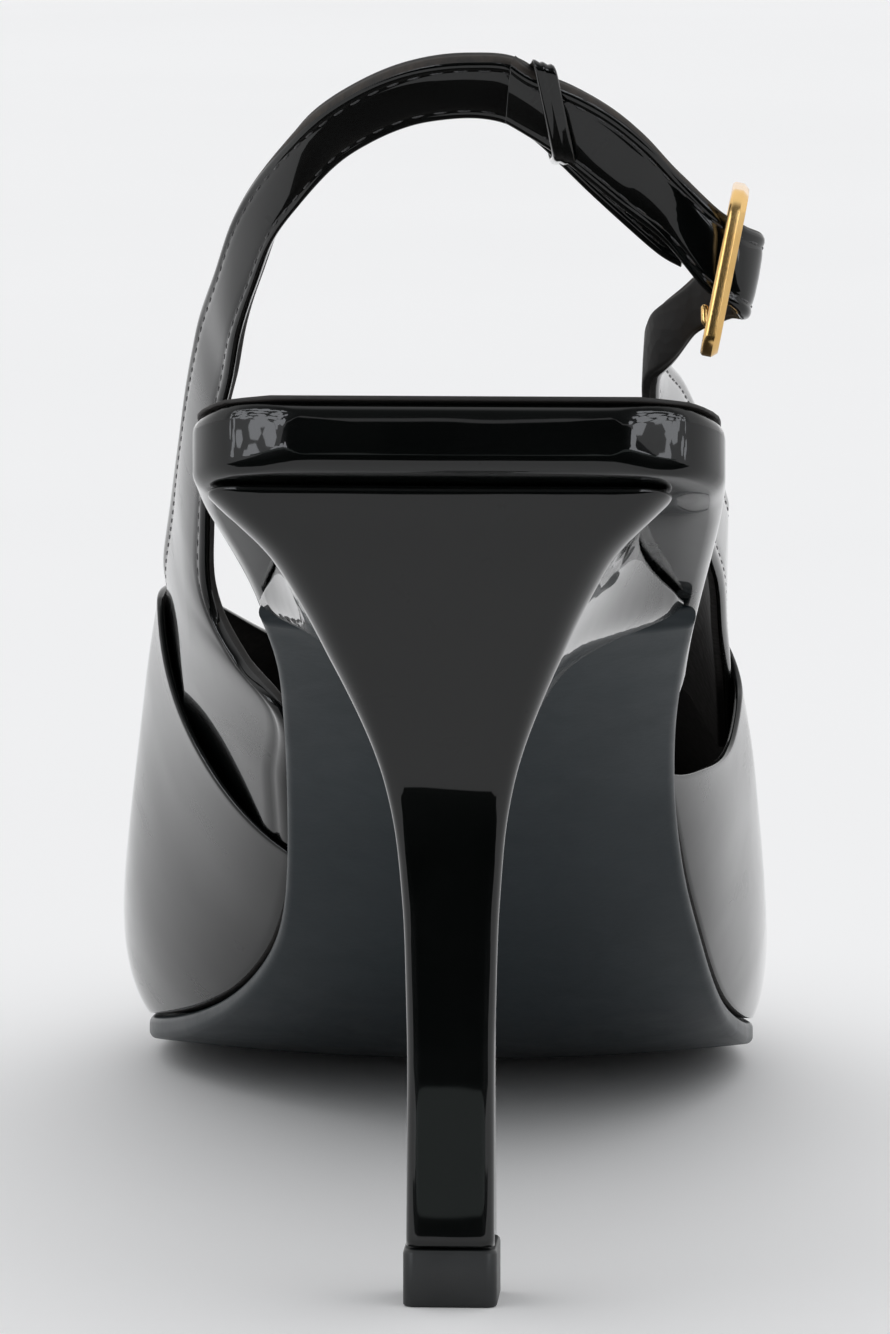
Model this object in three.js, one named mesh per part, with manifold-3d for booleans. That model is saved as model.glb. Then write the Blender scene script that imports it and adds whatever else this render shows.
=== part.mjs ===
import * as THREE from "three";
import Module from "manifold-3d";

const wasm = await Module();
wasm.setup();

// Main sizes of the shoe, in millimetres: +Y to the toe, +X to the outer side, floor at z = 0
const soleLength = 240.5;
const seatBack = 18.5;
const ballWidth = 79;
const seatHeight = 90;
const seatWidth = 55;

// Thickness of each layer, and the room left between two pieces
const seam = 0.3;
const tuck = 0.55;
const upperWall = 1.4;
const strapWall = 2.0;
const boardRim = 6.4;
const boardFront = 2.6;
const boardOver = 0.8;
const rimRound = 1.8;
const sockThick = 1.1;
const sockInset = 0.5;
const soleWaist = 2.0;
const soleFront = 2.8;
const soleCamber = 2.1;
const liftHeight = 6.2;
const tipWidth = 9.4;
const tipDepth = 9.6;
const liftLip = 0.3;

// Table in shares turned to millimetres, column by column
function measured(units, rows) {
  const inUnit = ([name, share]) => [name, share * (units[name] ?? 1)];
  return rows.map((row) => Object.fromEntries(Object.entries(row).map(inUnit)));
}

// Edge of the last on both sides and the height of its underside, in shares
const edgeRows = measured(
  { along: soleLength, medial: ballWidth, lateral: ballWidth, rise: seatHeight },
  [
    { along: 0, medial: -0.213, lateral: 0.246, rise: 1.0067 },
    { along: 0.0104, medial: -0.2905, lateral: 0.3235, rise: 0.9967 },
    { along: 0.0353, medial: -0.3266, lateral: 0.357, rise: 0.9733 },
    { along: 0.0769, medial: -0.3266, lateral: 0.3532, rise: 0.9389 },
    { along: 0.1393, medial: -0.3089, lateral: 0.338, rise: 0.8722 },
    { along: 0.2058, medial: -0.2886, lateral: 0.3165, rise: 0.7944 },
    { along: 0.264, medial: -0.2734, lateral: 0.2937, rise: 0.7056 },
    { along: 0.3264, medial: -0.2785, lateral: 0.2772, rise: 0.6 },
    { along: 0.3763, medial: -0.2861, lateral: 0.2734, rise: 0.5056 },
    { along: 0.4304, medial: -0.2975, lateral: 0.2823, rise: 0.3856 },
    { along: 0.4802, medial: -0.3203, lateral: 0.3025, rise: 0.2822 },
    { along: 0.5218, medial: -0.3633, lateral: 0.3177, rise: 0.2089 },
    { along: 0.5634, medial: -0.4215, lateral: 0.3342, rise: 0.1511 },
    { along: 0.6175, medial: -0.4975, lateral: 0.357, rise: 0.1044 },
    { along: 0.6881, medial: -0.5696, lateral: 0.3709, rise: 0.0689 },
    { along: 0.7422, medial: -0.5772, lateral: 0.3544, rise: 0.0522 },
    { along: 0.8046, medial: -0.5291, lateral: 0.2962, rise: 0.0444 },
    { along: 0.8669, medial: -0.443, lateral: 0.2025, rise: 0.0489 },
    { along: 0.9168, medial: -0.362, lateral: 0.1063, rise: 0.0756 },
    { along: 0.9543, medial: -0.2911, lateral: 0.0177, rise: 0.0967 },
    { along: 1, medial: -0.2089, lateral: -0.0696, rise: 0.1267 },
  ],
);

// Fullest point of each wall and the crown above it, in shares
const sideRows = measured(
  { along: soleLength, medial: ballWidth, lateral: ballWidth, medialRise: seatHeight, lateralRise: seatHeight },
  [
    { along: 0.3056, medial: -0.4557, medialRise: 0.9333, lateral: 0.3418, lateralRise: 0.8667 },
    { along: 0.368, medial: -0.4684, medialRise: 0.8556, lateral: 0.3481, lateralRise: 0.7778 },
    { along: 0.4304, medial: -0.4911, medialRise: 0.7778, lateral: 0.357, lateralRise: 0.6889 },
    { along: 0.4927, medial: -0.5114, medialRise: 0.6667, lateral: 0.3696, lateralRise: 0.5778 },
    { along: 0.5551, medial: -0.5468, medialRise: 0.4889, lateral: 0.3823, lateralRise: 0.4111 },
    { along: 0.6175, medial: -0.5848, medialRise: 0.3056, lateral: 0.3924, lateralRise: 0.2556 },
    { along: 0.6881, medial: -0.6076, medialRise: 0.1889, lateral: 0.3924, lateralRise: 0.1778 },
    { along: 0.7422, medial: -0.6025, medialRise: 0.1611, lateral: 0.3722, lateralRise: 0.1556 },
    { along: 0.8046, medial: -0.5494, medialRise: 0.15, lateral: 0.3114, lateralRise: 0.1467 },
    { along: 0.8669, medial: -0.4582, medialRise: 0.1444, lateral: 0.2152, lateralRise: 0.1444 },
    { along: 0.9168, medial: -0.3747, medialRise: 0.155, lateral: 0.1165, lateralRise: 0.155 },
    { along: 0.9543, medial: -0.3038, medialRise: 0.1667, lateral: 0.0278, lateralRise: 0.1667 },
    { along: 1, medial: -0.2152, medialRise: 0.1689, lateral: -0.0633, lateralRise: 0.1689 },
  ],
);
const crownRows = measured({ along: soleLength, crown: seatHeight, ridge: ballWidth }, [
  { along: 0.3056, crown: 1.3111, ridge: 0 },
  { along: 0.368, crown: 1.1778, ridge: -0.0127 },
  { along: 0.4304, crown: 1.0444, ridge: -0.038 },
  { along: 0.4927, crown: 0.9, ridge: -0.0633 },
  { along: 0.5551, crown: 0.7667, ridge: -0.0886 },
  { along: 0.6175, crown: 0.6389, ridge: -0.1076 },
  { along: 0.6881, crown: 0.5167, ridge: -0.1203 },
  { along: 0.7422, crown: 0.4278, ridge: -0.1329 },
  { along: 0.8046, crown: 0.3511, ridge: -0.1456 },
  { along: 0.8669, crown: 0.3044, ridge: -0.1519 },
  { along: 0.9168, crown: 0.2733, ridge: -0.1519 },
  { along: 0.9543, crown: 0.2556, ridge: -0.1456 },
  { along: 1, crown: 0.2089, ridge: -0.1392 },
]);
const toeCap = 11;
const footShare = 0.34;
const quarterReach = 7.5;

// Where the upper begins behind, from the medial edge over the throat to the lateral edge
const toplineRows = measured({ along: soleLength }, [
  { around: 0.0, along: 0.4304 },
  { around: 0.077, along: 0.4428 },
  { around: 0.14, along: 0.4636 },
  { around: 0.207, along: 0.4886 },
  { around: 0.25, along: 0.5094 },
  { around: 0.31, along: 0.5468 },
  { around: 0.391, along: 0.6091 },
  { around: 0.43, along: 0.6424 },
  { around: 0.465, along: 0.6694 },
  { around: 0.5, along: 0.6798 },
  { around: 0.535, along: 0.6694 },
  { around: 0.572, along: 0.6403 },
  { around: 0.618, along: 0.5904 },
  { around: 0.682, along: 0.5343 },
  { around: 0.749, along: 0.5135 },
  { around: 0.796, along: 0.5052 },
  { around: 0.865, along: 0.4719 },
  { around: 0.937, along: 0.4096 },
  { around: 1.0, along: 0.368 },
]);

// The sling strap's upper and lower edge from under the upper to the buckle
const slingRows = measured(
  { ux: ballWidth, uy: soleLength, uz: seatHeight, wx: ballWidth, wy: soleLength, wz: seatHeight },
  [
    { ux: -0.481, uy: 0.474, uz: 0.6222, wx: -0.3671, wy: 0.4241, wz: 0.25, on: 1 },
    { ux: -0.4873, uy: 0.4449, uz: 0.6667, wx: -0.3165, wy: 0.3659, wz: 0.3667, on: 1 },
    { ux: -0.4937, uy: 0.4158, uz: 0.7056, wx: -0.2911, wy: 0.3077, wz: 0.5, on: 1 },
    { ux: -0.4924, uy: 0.3784, uz: 0.7544, wx: -0.2886, wy: 0.2578, wz: 0.6022, on: 0.4 },
    { ux: -0.4709, uy: 0.3326, uz: 0.8211, wx: -0.3544, wy: 0.2703, wz: 0.6667, on: 0 },
    { ux: -0.4481, uy: 0.2827, uz: 0.8956, wx: -0.3975, wy: 0.2744, wz: 0.7444, on: 0 },
    { ux: -0.4253, uy: 0.2328, uz: 0.97, wx: -0.3949, wy: 0.2453, wz: 0.8333, on: 0 },
    { ux: -0.4063, uy: 0.1913, uz: 1.0367, wx: -0.3823, wy: 0.2079, wz: 0.9178, on: 0 },
    { ux: -0.3873, uy: 0.1538, uz: 1.0944, wx: -0.3595, wy: 0.1705, wz: 0.9867, on: 0 },
    { ux: -0.3696, uy: 0.1247, uz: 1.1422, wx: -0.3392, wy: 0.1414, wz: 1.0422, on: 0 },
    { ux: -0.3405, uy: 0.0873, uz: 1.2, wx: -0.319, wy: 0.104, wz: 1.1067, on: 0 },
    { ux: -0.3089, uy: 0.0499, uz: 1.2656, wx: -0.2861, wy: 0.0707, wz: 1.1756, on: 0 },
    { ux: -0.2709, uy: 0.0208, uz: 1.3189, wx: -0.2532, wy: 0.0416, wz: 1.2378, on: 0 },
    { ux: -0.2291, uy: -0.0042, uz: 1.36, wx: -0.2051, wy: 0.0187, wz: 1.2911, on: 0 },
    { ux: -0.1835, uy: -0.0249, uz: 1.3967, wx: -0.1519, wy: 0, wz: 1.34, on: 0 },
    { ux: -0.1278, uy: -0.0395, uz: 1.4311, wx: -0.1038, wy: -0.015, wz: 1.3689, on: 0 },
    { ux: -0.0734, uy: -0.0499, uz: 1.4544, wx: -0.0532, wy: -0.0249, wz: 1.3889, on: 0 },
    { ux: -0.0203, uy: -0.0561, uz: 1.4678, wx: -0.0076, wy: -0.0312, wz: 1.3978, on: 0 },
    { ux: 0.0329, uy: -0.0574, uz: 1.4722, wx: 0.038, wy: -0.0324, wz: 1.4, on: 0 },
    { ux: 0.0861, uy: -0.0549, uz: 1.4689, wx: 0.0759, wy: -0.0308, wz: 1.3933, on: 0 },
    { ux: 0.1291, uy: -0.0507, uz: 1.4444, wx: 0.1089, wy: -0.0283, wz: 1.3756, on: 0 },
    { ux: 0.1772, uy: -0.0449, uz: 1.4244, wx: 0.1443, wy: -0.0249, wz: 1.3467, on: 0 },
    { ux: 0.2228, uy: -0.0374, uz: 1.3933, wx: 0.1823, wy: -0.02, wz: 1.3133, on: 0 },
    { ux: 0.2658, uy: -0.0287, uz: 1.3556, wx: 0.2278, wy: -0.0141, wz: 1.2756, on: 0 },
    { ux: 0.3013, uy: -0.0183, uz: 1.3156, wx: 0.2759, wy: -0.0067, wz: 1.2378, on: 0 },
    { ux: 0.3215, uy: -0.0133, uz: 1.2978, wx: 0.2861, wy: -0.0042, wz: 1.2178, on: 0 },
  ],
);

// The buckle strap's upper and lower edge from under the upper, through the buckle, to its tip
const buckleRows = measured(
  { ux: ballWidth, uy: soleLength, uz: seatHeight, wx: ballWidth, wy: soleLength, wz: seatHeight },
  [
    { ux: 0.3608, uy: 0.4906, uz: 0.6389, wx: 0.3671, wy: 0.4823, wz: 0.4889, on: 1 },
    { ux: 0.362, uy: 0.4407, uz: 0.7111, wx: 0.3671, wy: 0.4283, wz: 0.5889, on: 1 },
    { ux: 0.3595, uy: 0.3825, uz: 0.7833, wx: 0.357, wy: 0.3659, wz: 0.6778, on: 0.7 },
    { ux: 0.3494, uy: 0.316, uz: 0.8667, wx: 0.3418, wy: 0.2994, wz: 0.7667, on: 0 },
    { ux: 0.3342, uy: 0.2495, uz: 0.9389, wx: 0.3241, wy: 0.237, wz: 0.8422, on: 0 },
    { ux: 0.319, uy: 0.1871, uz: 1.0056, wx: 0.3063, wy: 0.1788, wz: 0.9067, on: 0 },
    { ux: 0.3013, uy: 0.1289, uz: 1.0622, wx: 0.2886, wy: 0.1247, wz: 0.9667, on: 0 },
    { ux: 0.2835, uy: 0.079, uz: 1.1044, wx: 0.2734, wy: 0.079, wz: 1.0178, on: 0 },
    { ux: 0.2759, uy: 0.0457, uz: 1.14, wx: 0.2684, wy: 0.0499, wz: 1.0556, on: 0 },
    { ux: 0.2759, uy: 0.0266, uz: 1.1711, wx: 0.2734, wy: 0.0308, wz: 1.0844, on: 0 },
    { ux: 0.2937, uy: 0.0166, uz: 1.1956, wx: 0.2937, wy: 0.0208, wz: 1.1067, on: 0 },
    { ux: 0.3316, uy: 0.0141, uz: 1.2244, wx: 0.3291, wy: 0.0158, wz: 1.1467, on: 0 },
    { ux: 0.3873, uy: 0.0091, uz: 1.2489, wx: 0.3747, wy: 0.01, wz: 1.1622, on: 0 },
    { ux: 0.4177, uy: -0.0058, uz: 1.2644, wx: 0.3962, wy: -0.0058, wz: 1.1644, on: 0 },
    { ux: 0.3949, uy: -0.0191, uz: 1.2778, wx: 0.3848, wy: -0.0183, wz: 1.1778, on: 0 },
    { ux: 0.3595, uy: -0.0258, uz: 1.2956, wx: 0.3367, wy: -0.0216, wz: 1.2022, on: 0 },
  ],
);

// Heel: one row per height, from the top-lift to the seat
const heelRows = measured(
  { rise: seatHeight, back: soleLength, front: soleLength, dip: soleLength },
  [
    { rise: 0.0778, back: 0, front: 0.0004, backFlare: 0, frontFlare: -0.0044, dip: 0 },
    { rise: 0.2778, back: 0.0056, front: 0.0004, backFlare: -0.0022, frontFlare: -0.0088, dip: 0 },
    { rise: 0.3778, back: 0.0069, front: 0.0008, backFlare: 0.0055, frontFlare: -0.004, dip: 0 },
    { rise: 0.4444, back: 0.0073, front: 0.0012, backFlare: 0.0132, frontFlare: 0, dip: 0 },
    { rise: 0.5, back: 0.007, front: 0.0028, backFlare: 0.028, frontFlare: 0.0105, dip: 0 },
    { rise: 0.5556, back: 0.0064, front: 0.005, backFlare: 0.0482, frontFlare: 0.0263, dip: 0 },
    { rise: 0.6222, back: 0.0038, front: 0.0133, backFlare: 0.098, frontFlare: 0.0746, dip: 0.0017 },
    { rise: 0.6678, back: -0.0002, front: 0.0233, backFlare: 0.155, frontFlare: 0.136, dip: 0.0033 },
    { rise: 0.7133, back: -0.0055, front: 0.0424, backFlare: 0.228, frontFlare: 0.2237, dip: 0.005 },
    { rise: 0.74, back: -0.009, front: 0.0615, backFlare: 0.275, frontFlare: 0.3246, dip: 0.0067 },
    { rise: 0.7556, back: -0.0112, front: 0.0823, backFlare: 0.303, frontFlare: 0.4627, dip: 0.0083 },
    { rise: 0.7633, back: -0.0125, front: 0.0965, backFlare: 0.318, frontFlare: 0.6053, dip: 0.0083 },
    { rise: 0.7689, back: -0.0133, front: 0.1089, backFlare: 0.329, frontFlare: 0.7807, dip: 0.0083 },
    { rise: 0.8044, back: -0.0175, front: 0.1089, backFlare: 0.393, frontFlare: 0.8289, dip: 0.0083 },
    { rise: 0.85, back: -0.0233, front: 0.1089, backFlare: 0.487, frontFlare: 0.8465, dip: 0.0083 },
    { rise: 0.8956, back: -0.0287, front: 0.1089, backFlare: 0.595, frontFlare: 0.8684, dip: 0.0083 },
    { rise: 0.9444, back: -0.0341, front: 0.1089, backFlare: 0.79, frontFlare: 0.8904, dip: 0.0083 },
    { rise: 0.9822, back: -0.0391, front: 0.1089, backFlare: 0.92, frontFlare: 0.9123, dip: 0.0083 },
    { rise: 1.0222, back: -0.0424, front: 0.1089, backFlare: 0.9561, frontFlare: 0.9123, dip: 0.0083 },
  ],
);
const heelFrontSide = 0.9;
const heelBackSide = -0.9;
const heelCorner = 1.4;
const seatCorner = 4.5;
const heelLevels = [
  0.1556, 0.2444, 0.3333, 0.4222, 0.5, 0.5556, 0.6, 0.6444, 0.6833, 0.7133, 0.74,
  0.7556, 0.7633, 0.7689, 0.7889, 0.8222, 0.8611, 0.9, 0.9444, 0.9822, 1.0222,
];

// Keeper loop and buckle
const tipRise = 2.6;
const keeperBack = 4.6;
const keeperWide = 2.5;
const keeperWall = 0.8;
const keeperRoom = 1.0;
const frameLong = 17.8;
const frameDeep = 14.4;
const frameWire = 1.8;
const frameLean = 11;
const barWire = 1.5;
const prongWire = 1.1;
const frameCentre = { x: 0.3633, y: -0.006, z: 1.2244 };
const prongRows = [
  { out: -1.8, deep: -0.3, up: -4.6 },
  { out: -2.0, deep: 0.1, up: -2.4 },
  { out: -1.2, deep: 1.5, up: -0.6 },
  { out: 0.9, deep: 1.9, up: 0.0 },
  { out: 1.9, deep: 4.2, up: 0.2 },
  { out: 2.0, deep: 7.4, up: 0.2 },
];

// Smooth curve through two columns of a table; it never overshoots the rows
function curve(rows, column, key = "along") {
  const at = rows.map((row) => row[key]);
  const value = rows.map((row) => row[column]);
  const rise = value.slice(1).map((v, i) => (v - value[i]) / (at[i + 1] - at[i]));
  const slope = value.map((v, i) => {
    if (i === 0) return rise[0];
    if (i === value.length - 1) return rise[i - 1];
    if (rise[i - 1] * rise[i] <= 0) return 0;
    const before = at[i] - at[i - 1];
    const after = at[i + 1] - at[i];
    const w1 = 2 * after + before;
    const w2 = after + 2 * before;
    return (w1 + w2) / (w1 / rise[i - 1] + w2 / rise[i]);
  });
  return (x) => {
    if (x <= at[0]) return value[0];
    if (x >= at[at.length - 1]) return value[value.length - 1];
    let i = 0;
    while (x > at[i + 1]) i += 1;
    const h = at[i + 1] - at[i];
    const t = (x - at[i]) / h;
    const a = (1 + 2 * t) * (1 - t) * (1 - t) * value[i];
    const b = t * (1 - t) * (1 - t) * h * slope[i];
    const c = t * t * (3 - 2 * t) * value[i + 1];
    const d = t * t * (t - 1) * h * slope[i + 1];
    return a + b + c + d;
  };
}

const lerp = (a, b, t) => a + (b - a) * t;
const clamp = (v, low, high) => Math.min(Math.max(v, low), high);
const smooth = (a, b, v) => {
  const t = clamp((v - a) / (b - a), 0, 1);
  return t * t * (3 - 2 * t);
};

// The last: edge, walls and crown at a station, drawn in by an inset for inner faces
const edge = {
  medial: curve(edgeRows, "medial"),
  lateral: curve(edgeRows, "lateral"),
  rise: curve(edgeRows, "rise"),
};
const body = {
  medial: curve(sideRows, "medial"),
  medialRise: curve(sideRows, "medialRise"),
  lateral: curve(sideRows, "lateral"),
  lateralRise: curve(sideRows, "lateralRise"),
  crown: curve(crownRows, "crown"),
  ridge: curve(crownRows, "ridge"),
};

// Height of the seam between two layers, wider where the foot slopes so that the true gap stays the same
function seamAt(along) {
  const slope = (edge.rise(along + 3) - edge.rise(along - 3)) / 6;
  return 1.35 * seam * Math.hypot(1, slope);
}

function capShrink(along, inset) {
  const start = soleLength - toeCap;
  if (along <= start) return 1;
  const t = clamp((along - start) / (toeCap - inset), 0, 1);
  return Math.sqrt(Math.max(0, 1 - t * t));
}

// Left and right edge of the last's underside at a station
function edgeAt(along, inset, drawnLeft = inset, drawnRight = inset) {
  const k = capShrink(along, inset);
  const middle = body.ridge(along);
  const left = edge.medial(along) + drawnLeft;
  const right = edge.lateral(along) - drawnRight;
  return {
    left: middle + (left - middle) * k,
    right: middle + (right - middle) * k,
    rise: edge.rise(along),
  };
}

// Section of the last at a station
function sectionAt(along, inset) {
  const k = capShrink(along, inset);
  const middle = body.ridge(along);
  const ends = edgeAt(along, inset);
  const tip = body.crown(soleLength);
  const steep = (body.crown(along - 2) - body.crown(along + 2)) / 4;
  const top = body.crown(along) - inset * Math.hypot(1, clamp(steep, 0, 1.2));
  const crown = lerp(tip - inset, top, k);
  const side = (name, foot, sign) => {
    const full = body[name](along) - sign * inset;
    return { foot: [foot, ends.rise], full: [middle + (full - middle) * k, body[name + "Rise"](along)] };
  };
  return {
    medial: side("medial", ends.left, -1),
    lateral: side("lateral", ends.right, 1),
    crown: [middle, crown],
  };
}

const bezier = (a, b, c, d, t) => {
  const s = 1 - t;
  return s * s * s * a + 3 * s * s * t * b + 3 * s * t * t * c + t * t * t * d;
};

// Point of a half section: up is 0 at the edge of the sole and 1 at the crown
function wallPoint(section, side, up) {
  const { foot, full } = section[side];
  const crown = section.crown;
  const toFull = (k, share) => lerp(foot[k], full[k], share);
  if (up < footShare) {
    const t = up / footShare;
    const x = bezier(foot[0], toFull(0, 0.55), full[0], full[0], t);
    const z = bezier(foot[1], toFull(1, 0.18), toFull(1, 0.55), full[1], t);
    return [x, z];
  }
  const t = (up - footShare) / (1 - footShare);
  const x = bezier(full[0], full[0], lerp(crown[0], full[0], 0.52), crown[0], t);
  const z = bezier(full[1], lerp(full[1], crown[1], 0.58), crown[1], crown[1], t);
  return [x, z];
}

// Point of the whole section: around runs 0 to 1 from the medial edge to the lateral edge
function aroundPoint(along, around, inset) {
  const section = sectionAt(along, inset);
  const side = around <= 0.5 ? "medial" : "lateral";
  const p = wallPoint(section, side, 2 * Math.min(around, 1 - around));
  return [p[0], along - seatBack, p[1]];
}

// Distance to the side of the last's wall at a station and height
function wallAt(side, y, z, inset) {
  const section = sectionAt(y + seatBack, inset);
  let low = 0;
  let high = 1;
  for (let i = 0; i < 24; i += 1) {
    const mid = (low + high) / 2;
    if (wallPoint(section, side, mid)[1] < z) low = mid;
    else high = mid;
  }
  return wallPoint(section, side, low)[0];
}

// Closed mesh from points and faces, turned to face outwards
function closed(points, faces) {
  let volume = 0;
  const a = new THREE.Vector3();
  const b = new THREE.Vector3();
  const c = new THREE.Vector3();
  for (const face of faces) {
    a.fromArray(points[face[0]]);
    b.fromArray(points[face[1]]);
    c.fromArray(points[face[2]]);
    volume += a.dot(b.cross(c));
  }
  const index = volume < 0 ? faces.map((f) => [f[0], f[2], f[1]]).flat() : faces.flat();
  const geometry = new THREE.BufferGeometry();
  geometry.setAttribute("position", new THREE.BufferAttribute(new Float32Array(points.flat()), 3));
  geometry.setIndex(index);
  return geometry;
}

// Rings of equal count joined in a row, with a fan over each end
function loft(rings) {
  const count = rings[0].length;
  const points = rings.flat();
  const faces = [];
  for (let i = 0; i + 1 < rings.length; i += 1) {
    for (let j = 0; j < count; j += 1) {
      const a = i * count + j;
      const b = i * count + ((j + 1) % count);
      faces.push([a, b, b + count], [a, b + count, a + count]);
    }
  }
  const last = (rings.length - 1) * count;
  const centre = (ring) => [0, 1, 2].map((k) => ring.reduce((sum, p) => sum + p[k], 0) / count);
  points.push(centre(rings[0]), centre(rings[rings.length - 1]));
  for (let j = 0; j < count; j += 1) {
    const next = (j + 1) % count;
    faces.push([points.length - 2, next, j]);
    faces.push([points.length - 1, last + j, last + next]);
  }
  return closed(points, faces);
}

// Sheet between an outer and an inner grid of points; the far end is left out where both sides meet there
function sheet(outer, inner, openEnd = true) {
  const rows = outer.length;
  const columns = outer[0].length;
  const points = [...outer.flat(), ...inner.flat()];
  const shift = rows * columns;
  const faces = [];
  const at = (i, j) => i * columns + j;
  const quad = (a, b, c, d) => faces.push([a, b, c], [a, c, d]);
  for (let i = 0; i + 1 < rows; i += 1) {
    for (let j = 0; j + 1 < columns; j += 1) {
      quad(at(i, j), at(i + 1, j), at(i + 1, j + 1), at(i, j + 1));
      quad(shift + at(i, j), shift + at(i, j + 1), shift + at(i + 1, j + 1), shift + at(i + 1, j));
    }
  }
  for (let i = 0; i + 1 < rows; i += 1) {
    quad(at(i, 0), shift + at(i, 0), shift + at(i + 1, 0), at(i + 1, 0));
    if (openEnd) {
      const j = columns - 1;
      quad(at(i, j), at(i + 1, j), shift + at(i + 1, j), shift + at(i, j));
    }
  }
  for (let j = 0; j + 1 < columns; j += 1) {
    const i = rows - 1;
    quad(at(0, j), at(0, j + 1), shift + at(0, j + 1), shift + at(0, j));
    quad(at(i, j), shift + at(i, j), shift + at(i, j + 1), at(i, j + 1));
  }
  return closed(points, faces);
}

// Ring across a flat layer: underside, rounded side, top, rounded side
function layerRing({ along, left, right, low, high, round, camber = 0, floorAt = -Infinity }) {
  const r = Math.min(round, (right - left) * 0.3, (high - low) * 0.45);
  const ring = [];
  const across = [-1, -0.66, -0.33, 0, 0.33, 0.66, 1];
  const middle = (left + right) / 2;
  const half = (right - left) / 2;
  const y = along - seatBack;
  const under = (f) => low - camber * (1 - f * f);
  for (const f of across) ring.push([middle + f * (half - r), y, under(f)]);
  ring.push([right - 0.3 * r, y, low + 0.3 * r], [right, y, low + r]);
  ring.push([right, y, high - r], [right - 0.3 * r, y, high - 0.3 * r]);
  for (const f of [...across].reverse()) ring.push([middle + f * (half - r), y, high]);
  ring.push([left + 0.3 * r, y, high - 0.3 * r], [left, y, high - r]);
  ring.push([left, y, low + r], [left + 0.3 * r, y, low + 0.3 * r]);
  return ring.map((p) => [p[0], p[1], Math.max(p[2], floorAt)]);
}

// Stations from a start to the toe, closer together in the round of the toe
function stations(start, step, inset) {
  const capStart = soleLength - toeCap;
  const count = Math.round((capStart - start) / step);
  const list = Array.from({ length: count }, (_, i) => lerp(start, capStart, i / count));
  const turns = [0, 0.3, 0.55, 0.76, 0.9, 0.975];
  return [...list, ...turns.map((t) => capStart + (toeCap - inset) * t)];
}

// The room that the walls on each side take from the layers inside them
function wallRoom(along) {
  const wall = upperWall + seam;
  const share = along / soleLength;
  const quarter = (strapWall + tuck) * smooth(0.25, 0.32, share) * (1 - smooth(0.55, 0.62, share));
  return {
    left: lerp(-boardOver, wall, smooth(0.25, 0.32, share)) + quarter,
    right: lerp(-boardOver, wall, smooth(0.29, 0.365, share)),
  };
}
const boardRows = measured({ along: soleLength, thick: boardRim }, [
  { along: 0, thick: 1 },
  { along: 0.1663, thick: 0.92 },
  { along: 0.2911, thick: 0.62 },
]);
const boardThick = curve(
  [...boardRows, { along: 0.4 * soleLength, thick: boardFront }, { along: soleLength, thick: boardFront }],
  "thick",
);

// Places where the back end of a layer is drawn, closer together in its rounding
const backTurns = [0, 0.2, 0.75, 1.7].map((turn) => turn * rimRound);

function boardGeometry() {
  const inset = upperWall + seam;
  const rings = [...backTurns, ...stations(6, 9.5, inset)].map((along) => {
    const room = wallRoom(along);
    const full = edgeAt(along, inset, room.left, room.right);
    const soft = rimRound * Math.sqrt(clamp(1 - along / rimRound, 0, 1));
    const low = full.rise + soft * 0.5;
    const high = full.rise + boardThick(along) - soft * 0.5;
    return layerRing({ along, left: full.left + soft, right: full.right - soft, low, high, round: rimRound });
  });
  return loft(rings);
}

function sockGeometry() {
  const inset = upperWall + seam;
  const rings = [...backTurns.slice(1), ...stations(6, 9.5, inset)].map((along) => {
    const room = wallRoom(along);
    const full = edgeAt(along, inset, room.left + sockInset, room.right + sockInset);
    const low = full.rise + boardThick(along) + seamAt(along);
    const high = low + sockThick;
    return layerRing({ along, left: full.left, right: full.right, low, high, round: 0.4 * sockThick });
  });
  return loft(rings);
}

// The sole starts at the heel's breast, and its underside is flat where it meets the floor
function outsoleGeometry() {
  const start = heelCurve.front(seatHeight) + tipDepth / 2 + seatBack + seam;
  const rings = stations(start, 8.5, 0).map((along) => {
    const full = edgeAt(along, 0);
    const front = smooth(0.457, 0.665, along / soleLength);
    const thick = lerp(soleWaist, soleFront, front);
    const high = full.rise - seamAt(along);
    const camber = soleCamber * capShrink(along, 0) * lerp(0.75, 1, front);
    return layerRing({
      along,
      left: full.left,
      right: full.right,
      low: high - thick,
      high,
      round: 0.45 * soleWaist,
      camber,
      floorAt: 0,
    });
  });
  return loft(rings);
}

function upperGeometry() {
  const start = curve(toplineRows, "along", "around");
  const across = 28;
  const steps = [0, 0.04, 0.1, 0.18, 0.27, 0.36, 0.45, 0.54, 0.63, 0.72, 0.8, 0.87, 0.93, 1];
  const turns = [0.3, 0.55, 0.76, 0.9, 0.975, 1];
  const capStart = soleLength - toeCap;
  const grid = (inset) =>
    Array.from({ length: across + 1 }, (_, i) => {
      const around = i / across;
      const first = start(around);
      const along = steps.map((t) => lerp(first, capStart, t));
      along.push(...turns.map((t) => capStart + (toeCap - inset) * t));
      return along.map((a) => aroundPoint(a, around, inset));
    });
  return sheet(grid(0), grid(upperWall), false);
}

// Smooth value between the rows of a strap
function rowValue(rows, s, key) {
  const pick = (i) => rows[clamp(i, 0, rows.length - 1)][key];
  const i = Math.min(Math.floor(s), rows.length - 2);
  const t = s - i;
  const m0 = (pick(i + 1) - pick(i - 1)) / 2;
  const m1 = (pick(i + 2) - pick(i)) / 2;
  const a = (1 + 2 * t) * (1 - t) * (1 - t) * pick(i) + t * (1 - t) * (1 - t) * m0;
  return a + t * t * (3 - 2 * t) * pick(i + 1) + t * t * (t - 1) * m1;
}

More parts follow.
